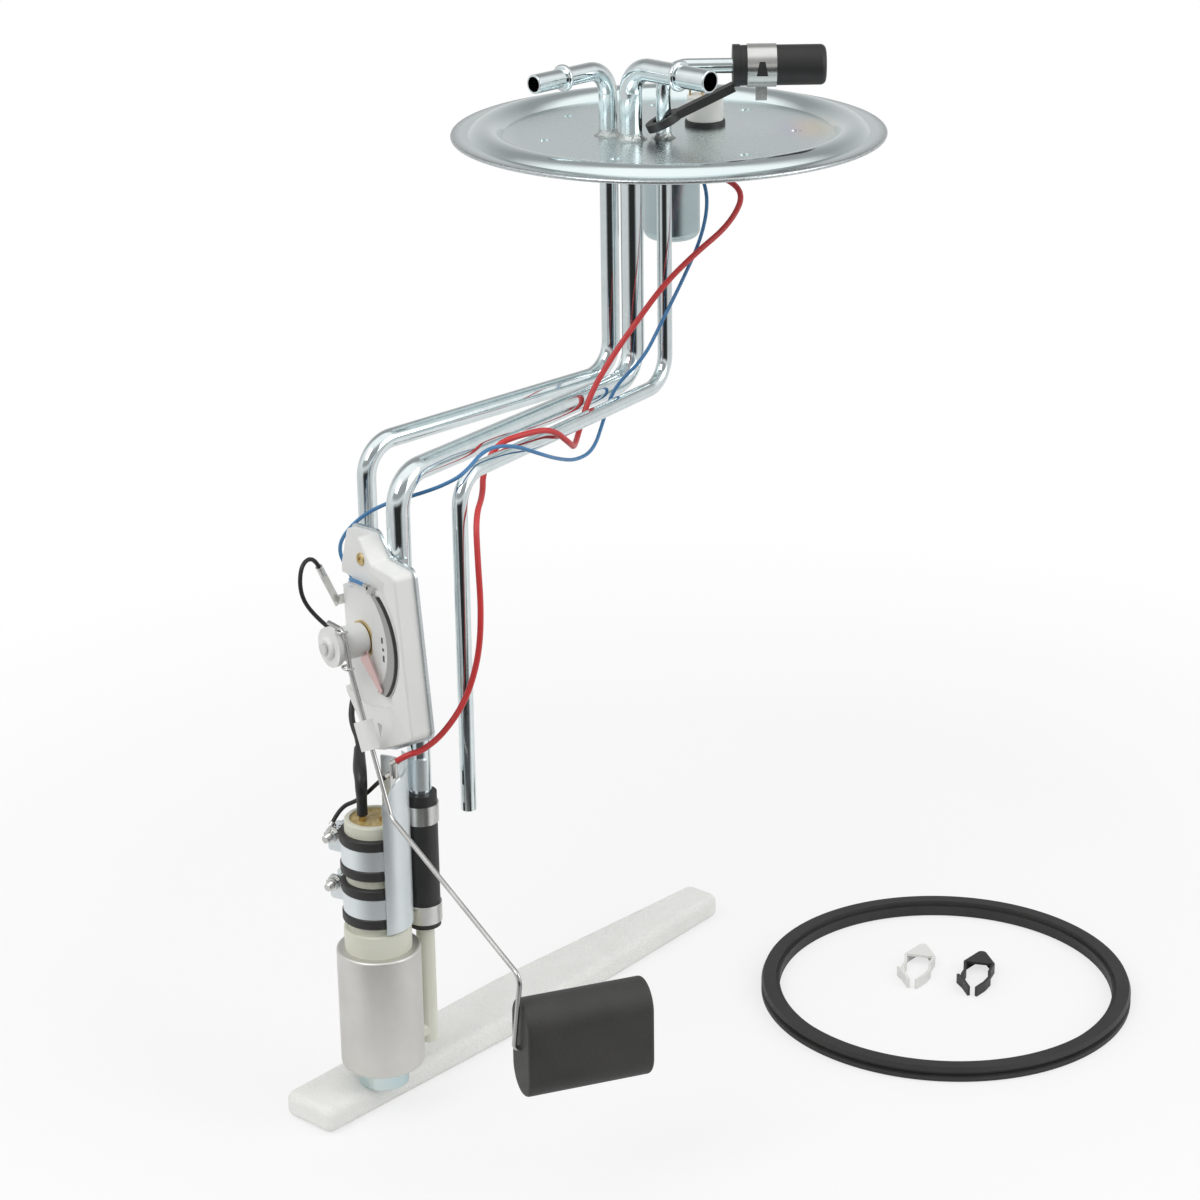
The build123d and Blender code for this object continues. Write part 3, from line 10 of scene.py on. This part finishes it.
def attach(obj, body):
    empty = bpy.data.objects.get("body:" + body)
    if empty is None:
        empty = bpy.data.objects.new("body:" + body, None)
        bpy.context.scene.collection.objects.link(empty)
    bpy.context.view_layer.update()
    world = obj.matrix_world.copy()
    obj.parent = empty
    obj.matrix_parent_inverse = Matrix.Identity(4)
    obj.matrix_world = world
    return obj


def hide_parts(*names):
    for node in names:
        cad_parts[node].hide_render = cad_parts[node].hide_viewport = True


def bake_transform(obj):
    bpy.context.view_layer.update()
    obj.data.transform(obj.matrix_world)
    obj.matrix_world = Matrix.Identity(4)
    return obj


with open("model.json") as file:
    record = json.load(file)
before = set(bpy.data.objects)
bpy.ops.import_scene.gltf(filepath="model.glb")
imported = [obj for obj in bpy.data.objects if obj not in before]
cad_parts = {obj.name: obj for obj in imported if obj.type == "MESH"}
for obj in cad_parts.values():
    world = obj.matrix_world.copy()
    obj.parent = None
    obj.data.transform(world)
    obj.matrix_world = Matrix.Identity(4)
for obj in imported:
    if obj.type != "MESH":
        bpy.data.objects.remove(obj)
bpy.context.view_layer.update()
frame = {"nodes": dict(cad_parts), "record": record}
NODES = frame["nodes"]
FLOOR_LEVEL = -0.3755
PUMP = (-0.1248, -0.158)
CAP_TOP = -0.243
SENDER_AT = (-0.12722, -0.13729, -0.1736)
SENDER_TURN = radians(-54.0)
SHARP_ANGLE = radians(34)
LATHE_STEPS = 40

# The strap screws: where they sit, then their radii, and heights along a screw's own axis.
STRAP_LEVELS = (-0.2572, -0.2788)
STRAP_MIDDLE = 0.0043
LUG_TURN = radians(-28)
LUG_REACH = 0.0172
THREAD_PITCH = 0.0008
THREAD_CREST = 0.0017
THREAD_ROOT = 0.00135
THREAD_FOOT = 0.0036
WASHER = ((0.0018, 0.0041), (0.0033, 0.0041), (0.0034, 0.0043), (0.0033, 0.0046), (0.0018, 0.0046))
NUT_RADIUS = 0.0030
NUT_HEIGHT = 0.0024
NUT_LEVELS = (-0.0045, 0.0058)
NUT_EDGE = 0.00025

# The cover: the radii between which its rim's grain and painted shade come in and its gloss changes, and
# its rainbow's centre and fade.
RIM = (0.0885, 0.0915)
BEAD_FOOT = (0.070, 0.064)
RAINBOW_AT = (0.058, 0.004)
RAINBOW_FADE = (0.026, 0.006)

# The end cap: the radii and the heights between which the amber of its recess begins.
RECESS_WALL = (0.0099, 0.0096)
RECESS_EDGE = (-0.0004, -0.0008)

# The resistor: the radii of its dark edge, its turns in a full circle, and the card's dashes, each
# by its place along and up and half its width and height.
RESISTOR_EDGE = (0.0264, 0.0267)
WINDING_TURNS = 420.0
DASH_BLUR = 0.0001
DASHES = (
    (0.0158, 0.0042, 0.0006, 0.0012), (0.0164, 0.0004, 0.0006, 0.0006), (0.0166, -0.0034, 0.0006, 0.0013),
)

CREAM = (0.74, 0.75, 0.65)
CREAM_SHADE = (0.70, 0.70, 0.58)
CARD_WHITE = (0.86, 0.86, 0.84)
CARD_SHADE = (0.82, 0.83, 0.81)
FLOOR_WHITE = (0.86, 0.86, 0.86)


class Value:
    """A shader output that takes part in sums, products and powers."""

    def __init__(self, paint, socket):
        self.paint = paint
        self.socket = socket

    def math(self, operation, first, second):
        return self.paint.node("ShaderNodeMath", {"operation": operation}, {0: first, 1: second})

    def __add__(self, other):
        return self.math("ADD", self, other)

    def __radd__(self, other):
        return self.math("ADD", other, self)

    def __sub__(self, other):
        return self.math("SUBTRACT", self, other)

    def __rsub__(self, other):
        return self.math("SUBTRACT", other, self)

    def __mul__(self, other):
        return self.math("MULTIPLY", self, other)

    def __rmul__(self, other):
        return self.math("MULTIPLY", other, self)

    def __pow__(self, other):
        return self.math("POWER", self, other)


class Graph:
    """A node tree, with its nodes made and fed in one line each."""

    def __init__(self, tree):
        self.tree = tree

    def feed(self, socket, value):
        if isinstance(value, Value):
            self.tree.links.new(value.socket, socket)
        else:
            socket.default_value = value

    def node(self, kind, settings=None, inputs=None, output=0):
        """Any node: its type, its settings, then the values or links of its sockets."""
        made = self.tree.nodes.new(kind)
        for name, value in (settings or {}).items():
            setattr(made, name, value)
        for name, value in (inputs or {}).items():
            self.feed(made.inputs[name], value)
        return Value(self, made.outputs[output])

    def between(self, value, low, high, start=0.0, end=1.0):
        """The value's way from low to high, laid onto start to end."""
        inputs = {"Value": value, "From Min": low, "From Max": high, "To Min": start, "To Max": end}
        return self.node("ShaderNodeMapRange", {"clamp": True}, inputs)

    def mix(self, share, first, second):
        inputs = {0: share, 6: (*first, 1.0) if isinstance(first, tuple) else first}
        inputs[7] = (*second, 1.0) if isinstance(second, tuple) else second
        return self.node("ShaderNodeMix", {"data_type": "RGBA"}, inputs, 2)

    def parts(self, vector):
        """The three numbers of a vector."""
        return [self.node("ShaderNodeSeparateXYZ", None, {0: vector}, axis) for axis in range(3)]

    def reach(self, across, along):
        """How far a point lies from an axis."""
        return (across * across + along * along) ** 0.5


class Paint(Graph):
    """A procedural finish on Object coordinates."""

    def __init__(self, name, color, roughness, metallic=0.0):
        self.material = bpy.data.materials.new(name)
        self.material.use_nodes = True
        super().__init__(self.material.node_tree)
        self.shader = self.tree.nodes["Principled BSDF"]
        self.set("Base Color", (*color, 1.0))
        self.set("Roughness", roughness)
        self.set("Metallic", metallic)
        self.place = self.node("ShaderNodeTexCoord", output="Object")

    def set(self, socket, value):
        self.feed(self.shader.inputs[socket], value)

    def seen_from(self, centre, turn=(0, 0, 0)):
        """Object coordinates as seen from a centre, and turned."""
        inputs = {"Vector": self.place, "Location": centre, "Rotation": turn}
        return self.node("ShaderNodeMapping", {"vector_type": "TEXTURE"}, inputs)

    def noise(self, scale, detail=3.0):
        inputs = {"Vector": self.place, "Scale": scale, "Detail": detail, "Roughness": 0.55}
        return self.node("ShaderNodeTexNoise", None, inputs, "Fac")

    def bump(self, height, distance):
        self.set("Normal", self.node("ShaderNodeBump", None, {"Height": height, "Distance": distance}))


def metal(name, color, shade, roughness, spread=0.06, mottle=60.0, grain=900.0, relief=0.00001):
    """A plated or rolled metal: a faint cloud in its colour and gloss, and a fine grain."""
    paint = Paint(name, color, roughness, 1.0)
    cloud = paint.noise(mottle, 4.0)
    fine = paint.noise(grain)
    share = paint.between(cloud, 0.35, 0.7)
    paint.set("Base Color", paint.mix(share, color, shade))
    paint.set("Roughness", roughness + (cloud - 0.5) * spread + (fine - 0.5) * spread)
    paint.bump(fine, relief)
    return paint


def drift(paint, color, shade):
    """A moulded piece's colour, which drifts a little towards its shade."""
    return paint.mix(paint.between(paint.noise(45.0), 0.3, 0.72), color, shade)


def moulding(name, color, shade, roughness, relief=0.00003):
    """A moulded plastic or rubber: its colour drifts a little and its skin is finely grained."""
    paint = Paint(name, color, roughness)
    cloud = paint.noise(45.0)
    fine = paint.noise(1400.0, 2.0)
    paint.set("Base Color", drift(paint, color, shade))
    paint.set("Roughness", roughness + (cloud - 0.5) * 0.12 + (fine - 0.5) * 0.08)
    paint.bump(fine, relief)
    return paint


# The finish of each material slot in the record.
FINISHES = {
    "bright_tube": metal(
        "bright_tube", (0.80, 0.87, 0.88), (0.72, 0.79, 0.81), 0.09, spread=0.05, mottle=160.0
    ),
    "braze": metal(
        "braze", (0.66, 0.70, 0.69), (0.50, 0.53, 0.51), 0.30, spread=0.12, mottle=300.0, relief=0.0006
    ),
    "black_rubber": moulding("black_rubber", (0.017, 0.017, 0.017), (0.026, 0.026, 0.025), 0.46),
    "band_steel": metal("band_steel", (0.74, 0.74, 0.72), (0.62, 0.62, 0.60), 0.26),
    "cream_plastic": moulding("cream_plastic", CREAM, CREAM_SHADE, 0.42),
    "white_plastic": moulding("white_plastic", (0.87, 0.87, 0.85), (0.83, 0.84, 0.82), 0.38),
    "brass_part": metal("brass", (0.72, 0.56, 0.28), (0.56, 0.42, 0.20), 0.30),
    "sender_steel": metal("sender_plate", (0.66, 0.70, 0.71), (0.56, 0.60, 0.62), 0.28),
    "contact": metal("contact_blade", (0.70, 0.50, 0.48), (0.58, 0.42, 0.42), 0.24),
    "wire_steel": metal("drawn_wire", (0.62, 0.62, 0.61), (0.48, 0.48, 0.47), 0.20),
    "float_nitrile": moulding(
        "float_foam", (0.034, 0.034, 0.032), (0.048, 0.047, 0.043), 0.58, relief=0.0002
    ),
    "bracket_steel": metal("bracket_steel", (0.84, 0.89, 0.91), (0.78, 0.84, 0.86), 0.40),
    "shell_steel": metal(
        "shell_steel", (0.74, 0.73, 0.70), (0.69, 0.68, 0.65), 0.47,
        spread=0.08, grain=2600.0, relief=0.00004,
    ),
    "cup_zinc": metal("inlet_zinc", (0.58, 0.74, 0.79), (0.70, 0.76, 0.72), 0.22),
    "pump_core": moulding("dark_resin", (0.06, 0.06, 0.065), (0.08, 0.08, 0.08), 0.45),
    "magnet": moulding("magnet", (0.05, 0.05, 0.055), (0.07, 0.07, 0.07), 0.5),
    "lamination": metal("lamination", (0.34, 0.32, 0.30), (0.24, 0.23, 0.22), 0.4),
    "copper": metal("copper", (0.74, 0.40, 0.26), (0.60, 0.30, 0.20), 0.3),
    "felt": moulding("felt", (0.93, 0.93, 0.90), (0.88, 0.885, 0.85), 0.9, relief=0.0006),
    "red_insulation": moulding("red_insulation", (0.66, 0.045, 0.045), (0.56, 0.035, 0.038), 0.36),
    "blue_insulation": moulding("blue_insulation", (0.07, 0.25, 0.50), (0.05, 0.19, 0.41), 0.36),
    "black_insulation": moulding(
        "black_insulation", (0.016, 0.016, 0.017), (0.026, 0.026, 0.026), 0.38
    ),
    "clip_black": moulding("black_nylon", (0.018, 0.018, 0.019), (0.03, 0.03, 0.03), 0.42),
    "clip_white": moulding("white_nylon", (0.82, 0.82, 0.79), (0.78, 0.79, 0.76), 0.42),
}


def potted_cap():
    """The cream end cap, with amber potting in its recess."""
    paint = moulding("end_cap", CREAM, CREAM_SHADE, 0.42)
    x, y, z = paint.parts(paint.seen_from((*PUMP, CAP_TOP)))
    inside = paint.between(paint.reach(x, y), *RECESS_WALL) * paint.between(z, *RECESS_EDGE)
    cloud = paint.between(paint.noise(320.0), 0.4, 0.62)
    amber = paint.mix(cloud, (0.44, 0.31, 0.10), (0.60, 0.46, 0.20))
    paint.set("Base Color", paint.mix(inside, drift(paint, CREAM, CREAM_SHADE), amber))
    paint.set("Roughness", 0.42 - inside * 0.2)
    return paint


def wound():
    """The resistor: fine turns of wire, laid across the arc, with a dark outer edge."""
    paint = Paint("wound_wire", (0.5, 0.5, 0.5), 0.42, 0.35)
    x, _, z = paint.parts(paint.seen_from(SENDER_AT, (0.0, 0.0, SENDER_TURN)))
    angle = paint.node("ShaderNodeMath", {"operation": "ARCTAN2"}, {0: z, 1: x})
    turns = paint.node("ShaderNodeMath", {"operation": "SINE"}, {0: angle * WINDING_TURNS})
    edge = paint.between(paint.reach(x, z), *RESISTOR_EDGE)
    fine = paint.mix(paint.between(turns, -1, 1), (0.30, 0.30, 0.30), (0.62, 0.62, 0.61))
    paint.set("Base Color", paint.mix(edge, fine, (0.05, 0.05, 0.05)))
    paint.bump(turns, 0.00004)
    return paint


def printed_card():
    """The resistor's white card, with three short printed dashes."""
    paint = moulding("printed_card", CARD_WHITE, CARD_SHADE, 0.45)
    x, _, z = paint.parts(paint.seen_from(SENDER_AT, (0.0, 0.0, SENDER_TURN)))
    marks = 0.0
    for along, up, width, height in DASHES:
        across = paint.node("ShaderNodeMath", {"operation": "ABSOLUTE"}, {0: x - along})
        rise = paint.node("ShaderNodeMath", {"operation": "ABSOLUTE"}, {0: z - up})
        beside = paint.between(across, width + DASH_BLUR, width)
        marks = marks + beside * paint.between(rise, height + DASH_BLUR, height)
    paint.set("Base Color", paint.mix(marks, drift(paint, CARD_WHITE, CARD_SHADE), (0.06, 0.06, 0.06)))
    return paint


def plated_cover():
    """Zinc plate over pressed steel: a teal cast, a faint rainbow at one side, a grainy rim
    darkened with painted shade, and a satin centre within the bright bead."""
    paint = Paint("plated_cover", (0.80, 0.88, 0.89), 0.13, 1.0)
    x, y, _ = paint.parts(paint.place)
    reach = paint.reach(x, y)
    cloud = paint.noise(14.0, 4.0)
    fine = paint.noise(900.0)
    rim_grit = paint.noise(2600.0, 2.0)
    rim = paint.between(reach, *RIM)
    plate = paint.mix(paint.between(cloud, 0.35, 0.7), (0.81, 0.89, 0.90), (0.75, 0.84, 0.85))

    across = x - RAINBOW_AT[0]
    along = y - RAINBOW_AT[1]
    near = paint.between((across * across * 3.0 + along * along) ** 0.5, *RAINBOW_FADE)
    hue = paint.between(x, 0.050, 0.066)
    violet, rose, straw = (0.70, 0.74, 0.94), (0.94, 0.78, 0.84), (0.98, 0.88, 0.62)
    sheen = paint.mix(hue, paint.mix(hue * 2.0, violet, rose), straw)
    plate = paint.mix(near * 0.8, plate, sheen)

    # The rim's colour: a fine grain of dark and pale grey, darker overall than the plate; that darkness
    # is painted shade.
    edge = paint.mix(paint.between(rim_grit, 0.42, 0.58), (0.30, 0.32, 0.33), (0.74, 0.78, 0.79))
    paint.set("Base Color", paint.mix(rim * 0.8, plate, edge))
    satin = paint.between(reach, *BEAD_FOOT, 0.14, 0.27)
    paint.set("Roughness", satin + (cloud - 0.5) * 0.06 + (fine - 0.5) * 0.04 + rim * 0.12)
    paint.bump(fine + rim * rim_grit * 2.0, 0.00001)
    return paint


# Nodes that have a finish of their own, in place of their slot's.
OWN_FINISH = {
    "flange_plate": plated_cover(),
    "pump_cap": potted_cap(),
    "resistor_winding": wound(),
    "resistor_card": printed_card(),
    "connector_body": moulding("terminal_block", (0.84, 0.84, 0.80), (0.80, 0.80, 0.75), 0.36),
    "vent_valve_cup": metal(
        "drawn_cup", (0.55, 0.66, 0.68), (0.46, 0.56, 0.58), 0.24, spread=0.08, mottle=30.0
    ),
    "jumper_terminal": metal("tinned_terminal", (0.82, 0.82, 0.80), (0.66, 0.66, 0.64), 0.18),
    "pivot_pin": metal("bright_pin", (0.80, 0.80, 0.78), (0.68, 0.68, 0.66), 0.16),
}

RED_ROUTE = (
    (0.0185, 0.014, -0.009), (0.0185, 0.014, -0.02), (0.033, 0.0025, -0.0255), (0.026, -0.0095, -0.037),
    (0.01, -0.022, -0.047), (-0.003, -0.029, -0.058), (-0.014, -0.036, -0.071),
    (-0.025, -0.042, -0.085), (-0.0348, -0.0505, -0.0992), (-0.0394, -0.0566, -0.1127),
    (-0.0417, -0.0705, -0.1162), (-0.043, -0.0833, -0.1102), (-0.0507, -0.0917, -0.1007),
    (-0.062, -0.1023, -0.0996), (-0.0727, -0.1078, -0.1017), (-0.0784, -0.1121, -0.1122),
    (-0.0781, -0.1242, -0.1177), (-0.0806, -0.14, -0.121), (-0.08, -0.147, -0.137),
    (-0.079, -0.15, -0.158), (-0.0805, -0.152, -0.177), (-0.086, -0.155, -0.194),
    (-0.095, -0.16, -0.206), (-0.1034, -0.1656, -0.211), (-0.1092, -0.1682, -0.2114),
    (-0.1135, -0.167, -0.2146),
)
BLUE_ROUTE = (
    (0.0135, 0.014, -0.009), (0.0135, 0.014, -0.019), (0.017, 0.001, -0.028), (0.014, -0.012, -0.041),
    (0.0055, -0.023, -0.057), (-0.004, -0.03, -0.074), (-0.012, -0.0345, -0.089),
    (-0.0246, -0.0356, -0.1007), (-0.029, -0.0417, -0.1127), (-0.0335, -0.061, -0.1205),
    (-0.041, -0.072, -0.1213), (-0.0488, -0.0894, -0.1146), (-0.0558, -0.1029, -0.1077),
    (-0.0663, -0.114, -0.1002), (-0.0768, -0.1223, -0.0988), (-0.0848, -0.139, -0.1039),
    (-0.0925, -0.1375, -0.1086), (-0.0997, -0.1355, -0.112), (-0.1087, -0.135, -0.1149),
    (-0.1161, -0.133, -0.1176), (-0.1267, -0.126, -0.1252), (-0.1351, -0.121, -0.1352),
    (-0.1375, -0.1169, -0.1436), (-0.1342, -0.1189, -0.1506), (-0.1316, -0.1256, -0.1521),
    (-0.1323, -0.1324, -0.15), (-0.1295, -0.1377, -0.1486), (-0.1254, -0.1434, -0.1486),
)
LEAD_ROUTE = (
    (-0.124, -0.1312, -0.1876), (-0.1317, -0.1201, -0.1981), (-0.1348, -0.1249, -0.2101),
    (-0.1337, -0.131, -0.2147), (-0.131, -0.1365, -0.2186), (-0.129, -0.1595, -0.226),
    (-0.129, -0.1595, -0.2418),
)
GROUND_ROUTE = (
    (-0.118, -0.1644, -0.2222), (-0.122, -0.1608, -0.2266), (-0.1266, -0.1562, -0.2331),
    (-0.1316, -0.1525, -0.2385), (-0.1385, -0.1505, -0.242), (-0.1417, -0.1531, -0.2475),
)


def dress(piece, slot):
    """The piece's finish, by its slot in the record."""
    piece.data.materials.clear()
    piece.data.materials.append(FINISHES[slot].material)


def add_piece(name, data, slot, body, *nodes):
    """A finished mesh or curve as a piece that rides on a body and stands for the nodes it replaces."""
    piece = bpy.data.objects.new(name, data)
    bpy.context.scene.collection.objects.link(piece)
    dress(piece, slot)
    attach(piece, body)
    if nodes:
        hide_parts(*nodes)
    return piece


def round_cord(name, points, radius, steps=12, rings=4, swells=None):
    """A round cord as a curve: one smooth spline with the points as control points."""
    curve = bpy.data.curves.new(name, "CURVE")
    curve.dimensions = "3D"
    spline = curve.splines.new("NURBS")
    spline.points.add(len(points) - 1)
    for point, place, swell in zip(spline.points, points, swells or [1.0] * len(points)):
        point.co = (*place, 1.0)
        point.radius = swell
    spline.order_u = 3
    spline.use_endpoint_u = True
    spline.resolution_u = steps
    curve.bevel_depth = radius
    curve.bevel_resolution = rings
    curve.use_fill_caps = True
    return curve


def wire(name, route, radius, slot, node):
    """A lead along its route."""
    return add_piece(name, round_cord(name, route, radius, steps=10), slot, "module", node)


def soften(piece):
    """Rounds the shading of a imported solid's triangles, with its edges kept sharp."""
    weld = piece.modifiers.new("weld", "WELD")
    weld.merge_threshold = 0.000001
    split = piece.modifiers.new("edges", "EDGE_SPLIT")
    split.split_angle = SHARP_ANGLE
    piece.data.polygons.foreach_set("use_smooth", [True] * len(piece.data.polygons))


def dress_nodes():
    """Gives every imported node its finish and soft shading, also a node that a piece replaces."""
    for row in frame["record"]["subparts"]:
        node = NODES[row["node"]]
        node.data.materials.clear()
        finish = OWN_FINISH.get(row["node"]) or FINISHES[row["material_slot"]]
        node.data.materials.append(finish.material)
        soften(node)


def at_sender(along, up, out):
    """A point of the level sender's own frame."""
    turn = Matrix.Rotation(SENDER_TURN, 3, "Z")
    return Vector(SENDER_AT) + turn @ Vector((along, -out, up))


def tube_mesh(name, points, radius):
    """A smooth tube along control points, as a mesh."""
    curve = round_cord(name, points, radius)
    holder = bpy.data.objects.new(name, curve)
    mesh = bpy.data.meshes.new_from_object(holder)
    bpy.data.objects.remove(holder)
    bpy.data.curves.remove(curve)
    mesh.polygons.foreach_set("use_smooth", [True] * len(mesh.polygons))
    return mesh


def jumper():
    """The short wire from the terminal to the hub."""
    points = [at_sender(*point) for point in (
        (-0.0164, 0.0276, 0.0093), (-0.0164, 0.0333, 0.0120), (-0.0148, 0.0315, 0.0190),
        (-0.0134, 0.0195, 0.0208), (-0.0116, 0.0090, 0.0150), (-0.0058, 0.0030, 0.0098),
    )]
    piece = bpy.data.objects.new("jumper", tube_mesh("jumper", points, radius=0.0009))
    bpy.context.scene.collection.objects.link(piece)
    dress(piece, "black_insulation")
    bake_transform(piece)
    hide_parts("jumper_wire")


def lathe(shape, profile):
    """Turns a profile of radii and heights about the z axis."""
    corners = [shape.verts.new((radius, 0.0, height)) for radius, height in profile]
    edges = [shape.edges.new(pair) for pair in zip(corners, corners[1:])]
    bmesh.ops.spin(
        shape, geom=corners + edges, cent=(0, 0, 0), axis=(0, 0, 1),
        angle=radians(360), steps=LATHE_STEPS, use_merge=True,
    )
    bmesh.ops.remove_doubles(shape, verts=shape.verts, dist=0.0000005)
    bmesh.ops.recalc_face_normals(shape, faces=shape.faces)


def threaded(tip, tip_radius, first, pitch, turns, foot_radius):
    """The profile of a threaded stretch, from its tip to the foot where it meets the other."""
    profile = [(0.0, tip), (tip_radius, tip)]
    for turn in range(turns):
        crest = first + turn * pitch
        profile += [(THREAD_CREST, crest), (THREAD_ROOT, crest + pitch / 2)]
    return profile + [(foot_radius, THREAD_FOOT), (0.0, THREAD_FOOT)]


def hexagon_nut(shape, height):
    """A nut with softened edges, centred at a height on the z axis."""
    made = bmesh.ops.create_cone(
        shape, cap_ends=True, segments=6, radius1=NUT_RADIUS, radius2=NUT_RADIUS, depth=NUT_HEIGHT
    )
    bmesh.ops.translate(shape, verts=made["verts"], vec=(0, 0, height))
    corners = set(made["verts"])
    rims = [edge for edge in shape.edges if corners.issuperset(edge.verts)]
    bmesh.ops.bevel(
        shape, geom=rims, offset=NUT_EDGE, segments=2, profile=0.5, affect="EDGES", material=-1
    )


def strap_screws():
    """Each strap's screw: a thread with a nut on either side of the lugs, and a washer."""
    across = Matrix.Rotation(LUG_TURN, 4, "Z") @ Matrix.Translation((-LUG_REACH, 0, 0))
    lying = Matrix.Rotation(radians(90), 4, "X")
    for order, level in enumerate(STRAP_LEVELS):
        mesh = bpy.data.meshes.new(f"screw_{order}")
        shape = bmesh.new()
        lathe(shape, threaded(-0.0104, 0.0012, -0.0100, THREAD_PITCH, turns=8, foot_radius=0.0013))
        lathe(shape, threaded(0.0100, 0.0013, 0.0097, -THREAD_PITCH, turns=5, foot_radius=0.0016))
        lathe(shape, WASHER)
        for height in NUT_LEVELS:
            hexagon_nut(shape, height)
        middle = Matrix.Translation((*PUMP, level + STRAP_MIDDLE))
        bmesh.ops.transform(shape, matrix=middle @ across @ lying, verts=shape.verts)
        shape.to_mesh(mesh)
        add_piece(f"screw_{order}", mesh, "band_steel", "module", "strap_screws")


def hub_clips():
    """Two small bright staples that hold the arm's wire against the hub."""
    bow = (
        (-0.0022, 0.0, 0.0120), (-0.0024, 0.0002, 0.0146), (0.0, 0.0, 0.0156),
        (0.0024, -0.0002, 0.0146), (0.0022, 0.0, 0.0120),
    )
    for name, along, up in (("upper_staple", 0.0052, 0.0080), ("lower_staple", 0.0088, -0.0066)):
        points = [at_sender(along + aside, up + rise, out) for aside, rise, out in bow]
        add_piece(name, tube_mesh(name, points, radius=0.00055), "band_steel", "arm")


def sleeving():
    """The heat-shrink sleeve on the pump lead, swollen where it covers a splice."""
    end_x, end_y, _ = LEAD_ROUTE[-2]
    points = (
        (-0.1306, -0.1412, -0.2202), (-0.1303, -0.1470, -0.2220), (-0.1298, -0.1535, -0.2241),
        (-0.1291, -0.1580, -0.2262), (end_x, end_y, -0.2300), (end_x, end_y, -0.2350),
        (end_x, end_y, -0.2413),
    )
    swells = (0.95, 1.1, 1.25, 1.12, 1.1, 0.9, 0.98)
    curve = round_cord("sleeve", points, radius=0.0023, rings=5, swells=swells)
    return add_piece("sleeve", curve, "black_insulation", "module", "lead_sleeve")


def leads():
    """The four leads, each a limp cord, and the sleeve that goes with the pump's lead."""
    red = wire("red_lead", RED_ROUTE, 0.00125, "red_insulation", "red_wire")
    blue = wire("blue_lead", BLUE_ROUTE, 0.0008, "blue_insulation", "blue_wire")
    black = wire("black_lead", LEAD_ROUTE, 0.0013, "black_insulation", "pump_lead")
    thin = wire("thin_lead", GROUND_ROUTE, 0.0009, "black_insulation", "ground_lead")
    sleeve = sleeving()


def surroundings():
    """A white room, brighter above. The metal mirrors three dark zones of it: low in front,
    where a viewer stands, high in front, and high behind. The camera sees plain white."""
    scene = bpy.context.scene
    scene.view_settings.view_transform = "Standard"
    world = bpy.data.worlds.new("room")
    scene.world = world
    world.use_nodes = True
    room = Graph(world.node_tree)
    _, behind, height = room.parts(room.node("ShaderNodeTexCoord", output="Generated"))
    low = room.between(behind, -0.66, -0.88) * room.between(height, 0.14, -0.06)
    high = room.between(behind, -0.28, -0.52) * room.between(height, 0.12, 0.3)
    high = high * room.between(height, 0.88, 0.7)
    far = room.between(behind, 0.15, 0.5) * room.between(height, -0.1, 0.6)
    far = far * room.between(height, 0.94, 0.89)
    white = room.between(height, -0.4, 0.8, 0.62, 1.08)
    level = white * (1.0 - low * 0.96) * (1.0 - high * 0.62) * (1.0 - far * 0.66)
    seen = room.node("ShaderNodeLightPath", output="Is Camera Ray")
    background = world.node_tree.nodes["Background"]
    background.inputs["Color"].default_value = (1.0, 1.0, 1.0, 1.0)
    room.feed(background.inputs["Strength"], level + seen * (1.0 - level))


def floor_finish():
    """A pale floor, dark towards the viewer, that the camera sees fade into the white room."""
    paint = Paint("floor", FLOOR_WHITE, 0.9)
    glow = paint.node("ShaderNodeEmission")
    matte = Value(paint, paint.shader.outputs[0])
    seen = paint.node("ShaderNodeLightPath", output="Is Camera Ray")
    across, depth, _ = paint.parts(paint.place)
    near = paint.between(depth, -0.25, -0.42)
    away = paint.between(paint.reach(across, depth), 0.25, 0.55)
    paint.set("Base Color", paint.mix(near, FLOOR_WHITE, (0.05, 0.05, 0.05)))
    share = seen * (0.70 + 0.30 * away * (1.0 - near) + 0.30 * near)
    surface = paint.node("ShaderNodeMixShader", None, {0: share, 1: matte, 2: glow})
    paint.feed(paint.tree.nodes["Material Output"].inputs["Surface"], surface)
    return paint


def studio():
    """The room, a round floor under the module, and two lamps that face the module's middle."""
    surroundings()
    scene = bpy.context.scene
    floor_mesh = bpy.data.meshes.new("floor")
    shape = bmesh.new()
    bmesh.ops.create_circle(shape, cap_ends=True, segments=96, radius=0.9)
    bmesh.ops.translate(shape, verts=shape.verts, vec=(0.0, 0.35, FLOOR_LEVEL - 0.0005))
    shape.to_mesh(floor_mesh)
    floor_mesh.materials.append(floor_finish().material)
    floor = bpy.data.objects.new("floor", floor_mesh)
    scene.collection.objects.link(floor)

    middle = Vector((-0.03, -0.06, -0.18))
    for name, place, energy in (("key", (-0.9, -1.1, 1.1), 9.0), ("fill", (1.1, -0.6, 0.5), 4.5)):
        lamp = bpy.data.lights.new(name, "AREA")
        lamp.size = 0.9
        lamp.energy = energy
        made = bpy.data.objects.new(name, lamp)
        made.location = place
        made.rotation_euler = (middle - made.location).to_track_quat("-Z", "Y").to_euler()
        scene.collection.objects.link(made)


def camera():
    """The photograph's view: a long lens, 21 degrees above the horizon, rolled a little."""
    lens = bpy.data.cameras.new("camera")
    lens.lens = 94.5
    lens.sensor_width = 36.0
    lens.clip_start = 0.05
    made = bpy.data.objects.new("camera", lens)
    downward = Matrix.Rotation(radians(90 - 21.04), 4, "X")
    roll = Matrix.Rotation(radians(-0.8), 4, "Z")
    made.matrix_world = Matrix.Translation((-0.0318, -1.3168, 0.2952)) @ downward @ roll
    bpy.context.scene.collection.objects.link(made)
    bpy.context.scene.camera = made


dress_nodes()
leads()
jumper()
strap_screws()
hub_clips()
studio()
camera()
